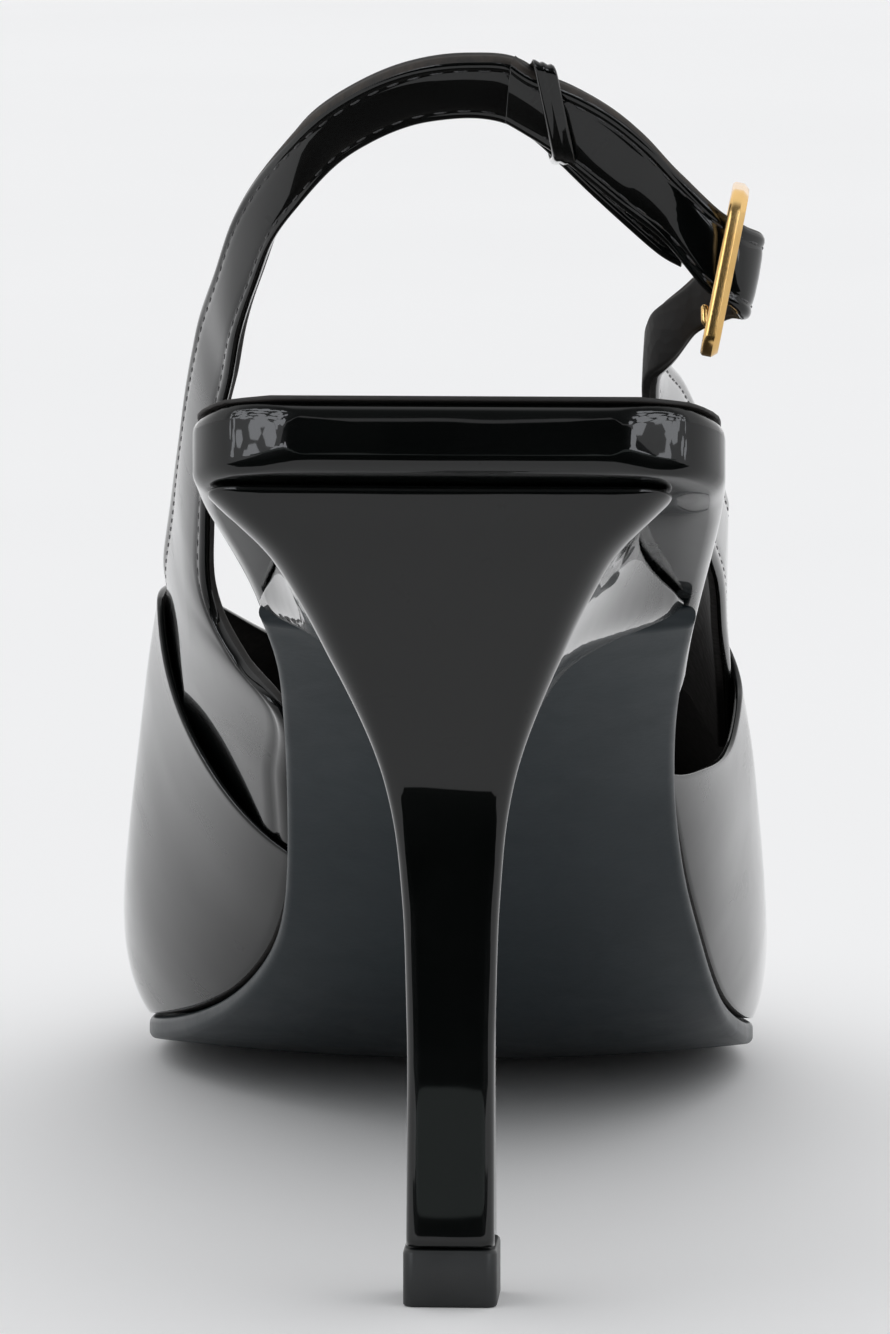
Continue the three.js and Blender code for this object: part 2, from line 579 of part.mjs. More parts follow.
// Point of a strap's outer face: s counts rows, f runs from the upper to the lower edge
function strapPoint(rows, side, s, f) {
  const y = lerp(rowValue(rows, s, "uy"), rowValue(rows, s, "wy"), f);
  const z = lerp(rowValue(rows, s, "uz"), rowValue(rows, s, "wz"), f);
  const free = lerp(rowValue(rows, s, "ux"), rowValue(rows, s, "wx"), f);
  const held = side === "medial" ? 1 - smooth(2, quarterReach, s) : 0;
  const pressed = clamp(rowValue(rows, s, "on"), 0, 1);
  const on = lerp(pressed, Math.max(pressed, held), 4 * f * (1 - f));
  const x = on > 0 ? lerp(free, wallAt(side, y, z, upperWall + tuck), on) : free;
  return new THREE.Vector3(x, y, z);
}

// Direction from a strap's outer face into it
function strapInward(rows, side, s, f) {
  const last = rows.length - 1;
  const point = (atS, atF) => strapPoint(rows, side, clamp(atS, 0, last), clamp(atF, 0, 1));
  const ds = point(s + 0.03, f).sub(point(s - 0.03, f));
  const df = point(s, f + 0.05).sub(point(s, f - 0.05));
  return ds.cross(df).normalize().multiplyScalar(side === "medial" ? 1 : -1);
}

function strapGrid(rows, side, steps, across, wall) {
  const outer = [];
  const inner = [];
  for (let j = 0; j <= steps; j += 1) {
    const s = (j / steps) * (rows.length - 1);
    const outerRow = [];
    const innerRow = [];
    for (let i = 0; i <= across; i += 1) {
      const f = i / across;
      const p = strapPoint(rows, side, s, f);
      outerRow.push(p.toArray());
      innerRow.push(p.addScaledVector(strapInward(rows, side, s, f), wall).toArray());
    }
    outer.push(outerRow);
    inner.push(innerRow);
  }
  return { outer, inner };
}

// The end of the buckle strap lies on the sling strap, one layer further out and a little higher
function tipRows() {
  const last = slingRows.length - 1;
  return [1.2, 2.3, 3.3, 4.3, 5.3, 6.0].map((back) => {
    const s = last - back;
    const out = strapInward(slingRows, "medial", s, 0.5).multiplyScalar(-(strapWall + tuck));
    const upper = strapPoint(slingRows, "medial", s, 0);
    const lower = strapPoint(slingRows, "medial", s, 1);
    const rise = upper.clone().sub(lower).setLength(tipRise);
    const u = upper.add(out).add(rise);
    const w = lower.add(out).add(rise);
    return { ux: u.x, uy: u.y, uz: u.z, wx: w.x, wy: w.y, wz: w.z, on: 0 };
  });
}

const heelColumns = ["back", "front", "backFlare", "frontFlare", "dip"];
const heelCurve = Object.fromEntries(heelColumns.map((name) => [name, curve(heelRows, name, "rise")]));

// Rounded corner points between two directions
function corner(x, y, r, from, steps) {
  return Array.from({ length: steps + 1 }, (_, i) => {
    const turn = from + (Math.PI / 2) * (i / steps);
    return [x + r * Math.cos(turn), y + r * Math.sin(turn)];
  });
}

// Outline of the heel at a height; its two rear corners grow rounder towards the seat
function heelRing(z) {
  const back = heelCurve.back(z) - tipDepth / 2;
  const front = heelCurve.front(z) + tipDepth / 2;
  const backHalf = lerp(tipWidth, seatWidth, heelCurve.backFlare(z)) / 2;
  const frontHalf = lerp(tipWidth, seatWidth, heelCurve.frontFlare(z)) / 2;
  const dip = heelCurve.dip(z);
  const r = heelCorner;
  const rear = lerp(heelCorner, seatCorner, smooth(0.55, 0.93, z / seatHeight));
  const aside = smooth(0.4444, 1, z / seatHeight);
  const shift = (y) => aside * lerp(heelBackSide, heelFrontSide, (y - back) / (front - back));
  const waist = (t) => lerp(backHalf, frontHalf, t) - Math.sin(Math.PI * t) * (front - back) * 0.03;
  const side = (t) => lerp(back + rear, front - r, t);
  const ring = [];
  ring.push(...corner(-backHalf + rear, back + rear, rear, Math.PI, 4));
  ring.push(...corner(backHalf - rear, back + rear, rear, 1.5 * Math.PI, 4));
  for (const t of [0.25, 0.5, 0.75]) ring.push([waist(t), side(t)]);
  ring.push(...corner(frontHalf - r, front - r, r, 0, 3));
  for (const t of [0.6, 0.3, 0, -0.3, -0.6]) ring.push([t * (frontHalf - r), front - dip * (1 - t * t)]);
  ring.push(...corner(-frontHalf + r, front - r, r, Math.PI / 2, 3));
  for (const t of [0.75, 0.5, 0.25]) ring.push([-waist(t), side(t)]);
  return ring.map((p) => [p[0] + shift(p[1]), p[1], z]);
}

function toManifold(geometry) {
  const mesh = new wasm.Mesh({
    numProp: 3,
    vertProperties: new Float32Array(geometry.attributes.position.array),
    triVerts: new Uint32Array(geometry.index.array),
  });
  return new wasm.Manifold(mesh);
}

function fromManifold(solid) {
  const mesh = solid.getMesh();
  const geometry = new THREE.BufferGeometry();
  geometry.setAttribute("position", new THREE.BufferAttribute(new Float32Array(mesh.vertProperties), 3));
  geometry.setIndex(Array.from(mesh.triVerts));
  return geometry;
}

// Everything above the seat's underside, to cut the heel's top
function seatCutter() {
  const count = 15;
  const rings = Array.from({ length: count }, (_, i) => {
    const along = soleLength * lerp(-0.05, 0.25, i / (count - 1));
    const low = edge.rise(along) - seamAt(along);
    const y = along - seatBack;
    return [
      [-seatWidth, y, low],
      [seatWidth, y, low],
      [seatWidth, y, low + seatHeight],
      [-seatWidth, y, low + seatHeight],
    ];
  });
  return toManifold(loft(rings));
}

function heelGeometry() {
  const levels = [liftHeight + seam, ...heelLevels.map((share) => share * seatHeight)];
  const solid = toManifold(loft(levels.map(heelRing)));
  return fromManifold(solid.subtract(seatCutter()));
}

function liftGeometry() {
  const r = 1.2;
  const w = tipWidth / 2 + liftLip - r;
  const d = tipDepth / 2 + liftLip / 2 - r;
  const outline = [
    ...corner(-w, -d, r, Math.PI, 3),
    ...corner(w, -d, r, 1.5 * Math.PI, 3),
    ...corner(w, d, r, 0, 3),
    ...corner(-w, d, r, Math.PI / 2, 3),
  ];
  return loft([0, liftHeight].map((z) => outline.map((p) => [p[0], p[1], z])));
}

// Rounded rectangle as points with the direction that faces out of it
function roundedPath(halfA, halfB, r, steps) {
  const corners = [[-1, -1, 2], [1, -1, 3], [1, 1, 0], [-1, 1, 1]];
  return corners.flatMap(([a, b, turn]) =>
    Array.from({ length: steps + 1 }, (_, i) => {
      const angle = (Math.PI / 2) * (turn + i / steps);
      const out = [Math.cos(angle), Math.sin(angle)];
      return { at: [a * (halfA - r) + r * out[0], b * (halfB - r) + r * out[1]], out };
    }),
  );
}

// Closed hoop: the section's points lie outwards from the path and along the hoop's axis
function hoop(centre, axisA, axisB, path, section) {
  const axis = axisA.clone().cross(axisB).normalize();
  const points = [];
  const faces = [];
  const count = path.length;
  const size = section.length;
  for (const { at, out } of path) {
    for (const [away, side] of section) {
      const p = centre.clone();
      p.addScaledVector(axisA, at[0] + out[0] * away);
      p.addScaledVector(axisB, at[1] + out[1] * away);
      p.addScaledVector(axis, side);
      points.push(p.toArray());
    }
  }
  for (let i = 0; i < count; i += 1) {
    for (let j = 0; j < size; j += 1) {
      const a = i * size + j;
      const b = i * size + ((j + 1) % size);
      const c = ((i + 1) % count) * size + j;
      const d = ((i + 1) % count) * size + ((j + 1) % size);
      faces.push([a, b, d], [a, d, c]);
    }
  }
  return closed(points, faces);
}

const round = (radius, sides) =>
  Array.from({ length: sides }, (_, i) => {
    const angle = (2 * Math.PI * (i + 0.5)) / sides;
    return [radius * Math.cos(angle), radius * Math.sin(angle)];
  });

// Round rod along a smooth path, with flat ends
function rod(points, radius, steps, sides = 8) {
  const path = new THREE.CatmullRomCurve3(points, false, "centripetal");
  const upright = new THREE.Vector3(0, 0, 1);
  const level = new THREE.Vector3(1, 0, 0);
  let side = upright.clone().cross(path.getTangent(0)).lengthSq() > 0.01 ? upright : level;
  const rings = Array.from({ length: steps + 1 }, (_, i) => {
    const centre = path.getPoint(i / steps);
    const forward = path.getTangent(i / steps);
    side = side.clone().addScaledVector(forward, -side.dot(forward)).normalize();
    const across = forward.clone().cross(side);
    const place = ([a, b]) => centre.clone().addScaledVector(side, a).addScaledVector(across, b).toArray();
    return round(radius, sides).map(place);
  });
  return loft(rings);
}

// Loop round both layers of strap
function keeperGeometry() {
  const s = slingRows.length - 1 - keeperBack;
  const upper = strapPoint(slingRows, "medial", s, 0);
  const lower = strapPoint(slingRows, "medial", s, 1);
  const inward = strapInward(slingRows, "medial", s, 0.5);
  const across = lower.clone().sub(upper);
  const half = (across.length() + tipRise) / 2 + keeperRoom;
  across.normalize();
  inward.addScaledVector(across, -inward.dot(across)).normalize();
  const thick = 2 * strapWall + tuck;
  const centre = upper.clone().lerp(lower, 0.5);
  centre.addScaledVector(inward, strapWall - thick / 2).addScaledVector(across, -tipRise / 2);
  const path = roundedPath(half, thick / 2 + keeperRoom, 0.9, 3);
  const w = keeperWide / 2;
  const section = [[0, -w], [keeperWall, -w], [keeperWall, w], [0, w]];
  return hoop(centre, across, inward, path, section);
}

// Axes of the buckle: long runs along its bars, deep from the back bar to the front bar
const frameMiddle = new THREE.Vector3(
  frameCentre.x * ballWidth,
  frameCentre.y * soleLength,
  frameCentre.z * seatHeight,
);
const lean = THREE.MathUtils.degToRad(frameLean);
const frameLongAxis = new THREE.Vector3(Math.sin(lean), 0, Math.cos(lean));
const frameDeepAxis = new THREE.Vector3(0.02, 0.985, 0.17);
frameDeepAxis.addScaledVector(frameLongAxis, -frameDeepAxis.dot(frameLongAxis)).normalize();
const frameOutAxis = frameDeepAxis.clone().cross(frameLongAxis).normalize();
const framePoint = (out, deep, long) => {
  const place = frameMiddle.clone().addScaledVector(frameOutAxis, out);
  return place.addScaledVector(frameDeepAxis, deep).addScaledVector(frameLongAxis, long);
};

function frameGeometry() {
  const halfLong = (frameLong - frameWire) / 2;
  const halfDeep = (frameDeep - frameWire) / 2;
  const path = roundedPath(halfLong, halfDeep, 1.8, 4);
  const ring = hoop(frameMiddle, frameLongAxis, frameDeepAxis, path, round(frameWire / 2, 8));
  const bar = rod([framePoint(0, 0, -halfLong), framePoint(0, 0, halfLong)], barWire / 2, 2);
  return fromManifold(toManifold(ring).add(toManifold(bar)));
}

const prongPath = prongRows.map((row) => framePoint(row.out, row.deep, row.up));

const patent = new THREE.MeshStandardMaterial({ color: 0x0b0b0d, roughness: 0.12, metalness: 0 });
const lining = new THREE.MeshStandardMaterial({ color: 0x1a1614, roughness: 0.7, metalness: 0 });
const satin = new THREE.MeshStandardMaterial({ color: 0x1c262d, roughness: 0.45, metalness: 0 });
const gold = new THREE.MeshStandardMaterial({ color: 0xd8b36a, roughness: 0.2, metalness: 1 });
const rubber = new THREE.MeshStandardMaterial({ color: 0x101214, roughness: 0.4, metalness: 0 });

const pump = new THREE.Group();
function add(name, geometry, material) {
  const mesh = new THREE.Mesh(geometry, material.clone());
  mesh.name = name;
  pump.add(mesh);
}

const sling = strapGrid(slingRows, "medial", 46, 4, strapWall);
const buckleStrap = strapGrid([...buckleRows, ...tipRows()], "lateral", 48, 4, strapWall);

add("outsole", outsoleGeometry(), satin);
add("insole_board", boardGeometry(), patent);
add("sock", sockGeometry(), lining);
add("heel", heelGeometry(), patent);
add("top_lift", liftGeometry(), rubber);
add("upper", upperGeometry(), patent);
add("sling_strap", sheet(sling.outer, sling.inner), patent);
const buckleSheet = toManifold(sheet(buckleStrap.outer, buckleStrap.inner));
const prongHole = toManifold(rod(prongPath.slice(2), prongWire / 2 + 0.5, 12));
add("buckle_strap", fromManifold(buckleSheet.subtract(prongHole)), patent);
add("keeper_loop", keeperGeometry(), patent);
add("buckle_frame", frameGeometry(), gold);
add("buckle_prong", rod(prongPath, prongWire / 2, 20), gold);

export default pump;
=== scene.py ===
import math

import bmesh
import bpy
import numpy as np
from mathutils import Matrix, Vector


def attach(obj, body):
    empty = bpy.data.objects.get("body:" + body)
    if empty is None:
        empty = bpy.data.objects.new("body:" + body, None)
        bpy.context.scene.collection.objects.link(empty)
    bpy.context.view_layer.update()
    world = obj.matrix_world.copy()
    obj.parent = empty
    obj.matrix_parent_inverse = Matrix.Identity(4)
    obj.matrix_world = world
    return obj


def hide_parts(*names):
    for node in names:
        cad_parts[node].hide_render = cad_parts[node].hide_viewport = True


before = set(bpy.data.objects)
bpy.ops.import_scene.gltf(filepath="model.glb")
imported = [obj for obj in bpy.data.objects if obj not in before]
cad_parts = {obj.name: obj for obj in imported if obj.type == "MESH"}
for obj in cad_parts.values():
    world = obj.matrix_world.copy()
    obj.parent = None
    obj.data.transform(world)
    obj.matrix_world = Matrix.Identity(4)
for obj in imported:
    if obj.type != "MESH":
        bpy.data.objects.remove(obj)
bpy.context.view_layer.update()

# Main sizes of the shoe, in millimetres: +Y to the toe, +X to the outer side, floor at z = 0
SOLE_LENGTH = 240.5
SEAT_BACK = 18.5
BALL_WIDTH = 79
SEAT_HEIGHT = 90
SEAT_WIDTH = 55
SEAM = 0.3
TUCK = 0.55
LIE = 0.2
UPPER_WALL = 1.4
STRAP_WALL = 2.0
BOARD_RIM = 7.4
BOARD_FRONT = 2.6
BOARD_OVER = 0.8
SOCK_SEEN = 0.4
SOLE_WAIST = 2.0
SOLE_FRONT = 2.8
SOLE_CAMBER = 2.1
LIFT_HEIGHT = 6.2
TIP_WIDTH = 9.4
TIP_DEPTH = 9.6
LIFT_LIP = 0.3
TOE_CAP = 11
FOOT_SHARE = 0.34
HEEL_FRONT_SIDE = 0.9
HEEL_BACK_SIDE = -0.9
HEEL_CORNER = 1.4
SEAT_CORNER = 4.5
TIP_RISE = 2.6
KEEPER_BACK = 4.6
KEEPER_WIDE = 2.5
KEEPER_WALL = 0.7
KEEPER_ROOM = 0.5
KEEPER_SKEW = math.radians(27)
FRAME_LONG = 17.8
FRAME_DEEP = 14.4
FRAME_WIRE = 1.8
FRAME_LEAN = math.radians(11)
BAR_WIRE = 1.5
PRONG_WIRE = 0.8

# Edge of the last on both sides and the height of its underside, in shares of length, ball width and seat height
# Columns: along, medial, lateral, rise
EDGE_ROWS = [
    (0, -0.213, 0.246, 1.0067),
    (0.0104, -0.2905, 0.3235, 0.9967),
    (0.0353, -0.3266, 0.357, 0.9733),
    (0.0769, -0.3266, 0.3532, 0.9389),
    (0.1393, -0.3089, 0.338, 0.8722),
    (0.2058, -0.2886, 0.3165, 0.7944),
    (0.264, -0.2734, 0.2937, 0.7056),
    (0.3264, -0.2785, 0.2772, 0.6),
    (0.3763, -0.2861, 0.2734, 0.5056),
    (0.4304, -0.2975, 0.2823, 0.3856),
    (0.4802, -0.3203, 0.3025, 0.2822),
    (0.5218, -0.3633, 0.3177, 0.2089),
    (0.5634, -0.4215, 0.3342, 0.1511),
    (0.6175, -0.4975, 0.357, 0.1044),
    (0.6881, -0.5696, 0.3709, 0.0689),
    (0.7422, -0.5772, 0.3544, 0.0522),
    (0.8046, -0.5291, 0.2962, 0.0444),
    (0.8669, -0.443, 0.2025, 0.0489),
    (0.9168, -0.362, 0.1063, 0.0756),
    (0.9543, -0.2911, 0.0177, 0.0967),
    (1, -0.2089, -0.0696, 0.1267),
]

# Fullest point of each wall, the crown above it and where the ridge runs
# Columns: along, medial, medial_rise, lateral, lateral_rise, crown, ridge
BODY_ROWS = [
    (0.3056, -0.4557, 0.9333, 0.3418, 0.8667, 1.3111, 0),
    (0.368, -0.4684, 0.8556, 0.3481, 0.7778, 1.1778, -0.0127),
    (0.4304, -0.4911, 0.7778, 0.357, 0.6889, 1.0444, -0.038),
    (0.4927, -0.5114, 0.6667, 0.3696, 0.5778, 0.9, -0.0633),
    (0.5551, -0.5468, 0.4889, 0.3823, 0.4111, 0.7667, -0.0886),
    (0.6175, -0.5848, 0.3056, 0.3924, 0.2556, 0.6389, -0.1076),
    (0.6881, -0.6076, 0.1889, 0.3924, 0.1778, 0.5167, -0.1203),
    (0.7422, -0.6025, 0.1611, 0.3722, 0.1556, 0.4278, -0.1329),
    (0.8046, -0.5494, 0.15, 0.3114, 0.1467, 0.3511, -0.1456),
    (0.8669, -0.4582, 0.1444, 0.2152, 0.1444, 0.3044, -0.1519),
    (0.9168, -0.3747, 0.155, 0.1165, 0.155, 0.2733, -0.1519),
    (0.9543, -0.3038, 0.1667, 0.0278, 0.1667, 0.2556, -0.1456),
    (1, -0.2152, 0.1689, -0.0633, 0.1689, 0.2089, -0.1392),
]

# Where the upper begins behind, from the medial edge over the throat to the lateral edge
# Columns: around, along
TOPLINE_ROWS = [
    (0.0, 0.4304),
    (0.077, 0.4428),
    (0.14, 0.4636),
    (0.207, 0.4886),
    (0.25, 0.5094),
    (0.31, 0.5468),
    (0.391, 0.6091),
    (0.43, 0.6424),
    (0.465, 0.6694),
    (0.5, 0.6798),
    (0.535, 0.6694),
    (0.572, 0.6403),
    (0.618, 0.5904),
    (0.682, 0.5343),
    (0.749, 0.5135),
    (0.796, 0.5052),
    (0.865, 0.4719),
    (0.937, 0.4096),
    (1.0, 0.368),
]

# The sling strap's upper edge, its lower edge, and 1 where it lies on the upper's wall
# Columns: ux, uy, uz, wx, wy, wz, on
SLING_ROWS = [
    (-0.481, 0.474, 0.6222, -0.3671, 0.4241, 0.25, 1),
    (-0.4873, 0.4449, 0.6667, -0.3165, 0.3659, 0.3667, 1),
    (-0.4937, 0.4158, 0.7056, -0.2911, 0.3077, 0.5, 1),
    (-0.4924, 0.3784, 0.7544, -0.2886, 0.2578, 0.6022, 0.4),
    (-0.4709, 0.3326, 0.8211, -0.3544, 0.2703, 0.6667, 0),
    (-0.4481, 0.2827, 0.8956, -0.3975, 0.2744, 0.7444, 0),
    (-0.4253, 0.2328, 0.97, -0.3949, 0.2453, 0.8333, 0),
    (-0.4063, 0.1913, 1.0367, -0.3823, 0.2079, 0.9178, 0),
    (-0.3873, 0.1538, 1.0944, -0.3595, 0.1705, 0.9867, 0),
    (-0.3696, 0.1247, 1.1422, -0.3392, 0.1414, 1.0422, 0),
    (-0.3405, 0.0873, 1.2, -0.319, 0.104, 1.1067, 0),
    (-0.3089, 0.0499, 1.2656, -0.2861, 0.0707, 1.1756, 0),
    (-0.2709, 0.0208, 1.3189, -0.2532, 0.0416, 1.2378, 0),
    (-0.2291, -0.0042, 1.36, -0.2051, 0.0187, 1.2911, 0),
    (-0.1835, -0.0249, 1.3967, -0.1519, 0, 1.34, 0),
    (-0.1278, -0.0395, 1.4311, -0.1038, -0.015, 1.3689, 0),
    (-0.0734, -0.0499, 1.4544, -0.0532, -0.0249, 1.3889, 0),
    (-0.0203, -0.0561, 1.4678, -0.0076, -0.0312, 1.3978, 0),
    (0.0329, -0.0574, 1.4722, 0.038, -0.0324, 1.4, 0),
    (0.0861, -0.0549, 1.4689, 0.0759, -0.0308, 1.3933, 0),
    (0.1291, -0.0507, 1.4444, 0.1089, -0.0283, 1.3756, 0),
    (0.1772, -0.0449, 1.4244, 0.1443, -0.0249, 1.3467, 0),
    (0.2228, -0.0374, 1.3933, 0.1823, -0.02, 1.3133, 0),
    (0.2658, -0.0287, 1.3556, 0.2278, -0.0141, 1.2756, 0),
    (0.3013, -0.0183, 1.3156, 0.2759, -0.0067, 1.2378, 0),
    (0.3215, -0.0133, 1.2978, 0.3038, -0.0067, 1.2244, 0),
]

# The buckle strap's upper edge and lower edge
# Columns: ux, uy, uz, wx, wy, wz, on
BUCKLE_ROWS = [
    (0.3608, 0.4906, 0.6389, 0.3671, 0.4823, 0.4889, 1),
    (0.362, 0.4407, 0.7111, 0.3671, 0.4283, 0.5889, 1),
    (0.3595, 0.3825, 0.7833, 0.357, 0.3659, 0.6778, 0.7),
    (0.3494, 0.316, 0.8667, 0.3418, 0.2994, 0.7667, 0),
    (0.3342, 0.2495, 0.9389, 0.3241, 0.237, 0.8422, 0),
    (0.319, 0.1871, 1.0056, 0.3063, 0.1788, 0.9067, 0),
    (0.3013, 0.1289, 1.0622, 0.2886, 0.1247, 0.9667, 0),
    (0.2848, 0.079, 1.0978, 0.2734, 0.079, 1.0178, 0),
    (0.2778, 0.0457, 1.13, 0.2722, 0.0499, 1.0556, 0),
    (0.281, 0.0266, 1.16, 0.2772, 0.0308, 1.0844, 0),
    (0.2962, 0.0166, 1.19, 0.2949, 0.0208, 1.1067, 0),
    (0.3329, 0.0137, 1.2211, 0.3291, 0.0158, 1.1467, 0),
    (0.3873, 0.0091, 1.2489, 0.3747, 0.01, 1.1622, 0),
    (0.4177, -0.0058, 1.2644, 0.3962, -0.0058, 1.1644, 0),
    (0.3949, -0.0191, 1.2778, 0.3848, -0.0183, 1.1778, 0),
    (0.3595, -0.0258, 1.2956, 0.3367, -0.0216, 1.2022, 0),
]

# The heel from the top-lift to the seat
# Columns: rise, back, front, back_flare, front_flare, dip
HEEL_ROWS = [
    (0.0778, 0, 0.0004, 0, -0.0044, 0),
    (0.2778, 0.0056, 0.0004, -0.0022, -0.0088, 0),
    (0.3778, 0.0069, 0.0008, 0.0055, -0.004, 0),
    (0.4444, 0.0073, 0.0012, 0.0132, 0, 0),
    (0.5, 0.007, 0.0028, 0.028, 0.0105, 0),
    (0.5556, 0.0064, 0.005, 0.0482, 0.0263, 0),
    (0.6222, 0.0038, 0.0133, 0.098, 0.0746, 0.0017),
    (0.6678, -0.0002, 0.0233, 0.155, 0.136, 0.0033),
    (0.7133, -0.0055, 0.0424, 0.228, 0.2237, 0.005),
    (0.74, -0.009, 0.0615, 0.275, 0.3246, 0.0067),
    (0.7556, -0.0112, 0.0823, 0.303, 0.4627, 0.0083),
    (0.7633, -0.0125, 0.0965, 0.318, 0.6053, 0.0083),
    (0.7689, -0.0133, 0.1089, 0.329, 0.7807, 0.0083),
    (0.8044, -0.0175, 0.1089, 0.393, 0.8289, 0.0083),
    (0.85, -0.0233, 0.1089, 0.487, 0.8465, 0.0083),
    (0.8956, -0.0287, 0.1089, 0.595, 0.8684, 0.0083),
    (0.9444, -0.0341, 0.1089, 0.79, 0.8904, 0.0083),
    (0.9822, -0.0391, 0.1089, 0.92, 0.9123, 0.0083),
    (1.0222, -0.0424, 0.1089, 0.9561, 0.9123, 0.0083),
]


def lerp(a, b, t):
    return a + (b - a) * t


def smooth(a, b, v):
    t = np.clip((v - a) / (b - a), 0, 1)
    return t * t * (3 - 2 * t)


def bezier(a, b, c, d, t):
    s = 1 - t
    return s**3 * a + 3 * s * s * t * b + 3 * s * t * t * c + t**3 * d


def curve(at, value):
    """Smooth curve through a table's rows that never overshoots them."""
    at = np.asarray(at, float)
    value = np.asarray(value, float)
    h = np.diff(at)
    rise = np.diff(value) / h
    slope = np.concatenate([rise[:1], np.zeros(len(h) - 1), rise[-1:]])
    same = rise[:-1] * rise[1:] > 0
    w1 = 2 * h[1:] + h[:-1]
    w2 = h[1:] + 2 * h[:-1]
    first = np.where(same, rise[:-1], 1)
    second = np.where(same, rise[1:], 1)
    slope[1:-1] = np.where(same, (w1 + w2) / (w1 / first + w2 / second), 0)

    def value_at(x):
        x = np.clip(x, at[0], at[-1])
        i = np.clip(np.searchsorted(at, x, side="right") - 1, 0, len(h) - 1)
        t = (x - at[i]) / h[i]
        a = (1 + 2 * t) * (1 - t) ** 2 * value[i] + t * (1 - t) ** 2 * h[i] * slope[i]
        return a + t * t * (3 - 2 * t) * value[i + 1] + t * t * (t - 1) * h[i] * slope[i + 1]

    return value_at


def fair(value_at, low, high, blur, keep_below):
    """The same curve with its corners eased, apart from the stretch below keep_below."""
    step = 0.25
    x = np.arange(low - 4 * blur, high + 4 * blur, step)
    inside = np.clip(x, low, high)
    slope_low = (value_at(low + 1) - value_at(low)) * np.minimum(x - low, 0)
    slope_high = (value_at(high) - value_at(high - 1)) * np.maximum(x - high, 0)
    y = value_at(inside) + slope_low + slope_high
    reach = np.arange(-3 * blur, 3 * blur + step, step)
    weight = np.exp(-0.5 * (reach / blur) ** 2)
    pad = len(reach) // 2
    eased = np.convolve(np.pad(y, pad, "edge"), weight / weight.sum(), "same")[pad:-pad]

    def eased_at(v):
        v = np.clip(v, low, high)
        return lerp(value_at(v), np.interp(v, x, eased), smooth(keep_below, keep_below + 14, v))

    return eased_at


def columns(rows, units, blur=0, keep_below=-100):
    """One curve for each column after the first, in millimetres."""
    data = np.array(rows, float) * np.array(units, float)
    made = [curve(data[:, 0], data[:, k]) for k in range(1, data.shape[1])]
    if not blur:
        return made
    return [fair(c, data[0, 0], data[-1, 0], blur, keep_below) for c in made]


edge_medial, edge_lateral, edge_rise = columns(
    EDGE_ROWS, (SOLE_LENGTH, BALL_WIDTH, BALL_WIDTH, SEAT_HEIGHT), 3.5, 10
)
_body = columns(
    BODY_ROWS,
    (SOLE_LENGTH, BALL_WIDTH, SEAT_HEIGHT, BALL_WIDTH, SEAT_HEIGHT, SEAT_HEIGHT, BALL_WIDTH),
    5,
)
crown_at, ridge_at = _body[4], _body[5]
WALLS = {
    "medial": (-1, edge_medial, _body[0], _body[1]),
    "lateral": (1, edge_lateral, _body[2], _body[3]),
}
topline = columns(TOPLINE_ROWS, (1, SOLE_LENGTH))[0]
heel_back, heel_front, heel_back_flare, heel_front_flare, heel_dip = columns(
    HEEL_ROWS, (SEAT_HEIGHT, SOLE_LENGTH, SOLE_LENGTH, 1, 1, SOLE_LENGTH), 1.2
)


def seam_at(along):
    slope = (edge_rise(along + 3) - edge_rise(along - 3)) / 6
    return 1.35 * SEAM * np.hypot(1, slope)


def cap_shrink(along, inset):
    """Narrowing of the toe's round end, 1 behind it and 0 at the tip."""
    t = np.clip((along - (SOLE_LENGTH - TOE_CAP)) / (TOE_CAP - inset), 0, 1)
    return np.sqrt(np.maximum(0, 1 - t * t))


def edge_at(along, inset, left_in, right_in):
    """Left edge, right edge and height of the last's underside."""
    k = cap_shrink(along, inset)
    middle = ridge_at(along)
    left = middle + (edge_medial(along) + left_in - middle) * k
    right = middle + (edge_lateral(along) - right_in - middle) * k
    return left, right, edge_rise(along)


def wall_point(along, inset, side, up):
    """x and z on the last's wall: up is 0 at the edge of the sole and 1 at the crown."""
    sign, edge, full, full_rise = WALLS[side]
    k = cap_shrink(along, inset)
    middle = ridge_at(along)
    steep = (crown_at(along - 2) - crown_at(along + 2)) / 4
    top = crown_at(along) - inset * np.hypot(1, np.clip(steep, 0, 1.2))
    crown_z = lerp(crown_at(SOLE_LENGTH) - inset, top, k)
    foot_x = middle + (edge(along) - sign * inset - middle) * k
    foot_z = edge_rise(along)
    full_x = middle + (full(along) - sign * inset - middle) * k
    full_z = full_rise(along)
    t = np.clip(up / FOOT_SHARE, 0, 1)
    low_x = bezier(foot_x, lerp(foot_x, full_x, 0.55), full_x, full_x, t)
    low_z = bezier(foot_z, lerp(foot_z, full_z, 0.18), lerp(foot_z, full_z, 0.55), full_z, t)
    t = np.clip((up - FOOT_SHARE) / (1 - FOOT_SHARE), 0, 1)
    high_x = bezier(full_x, full_x, lerp(middle, full_x, 0.52), middle, t)
    high_z = bezier(full_z, lerp(full_z, crown_z, 0.58), crown_z, crown_z, t)
    lower = up < FOOT_SHARE
    return np.where(lower, low_x, high_x), np.where(lower, low_z, high_z)


def around_point(along, around, inset):
    """Point of the last's surface: around runs 0 to 1 from the medial to the lateral edge."""
    mx, mz = wall_point(along, inset, "medial", np.clip(around * 2, 0, 1))
    lx, lz = wall_point(along, inset, "lateral", np.clip((1 - around) * 2, 0, 1))
    first = around <= 0.5
    return np.stack([np.where(first, mx, lx), along - SEAT_BACK, np.where(first, mz, lz)], -1)


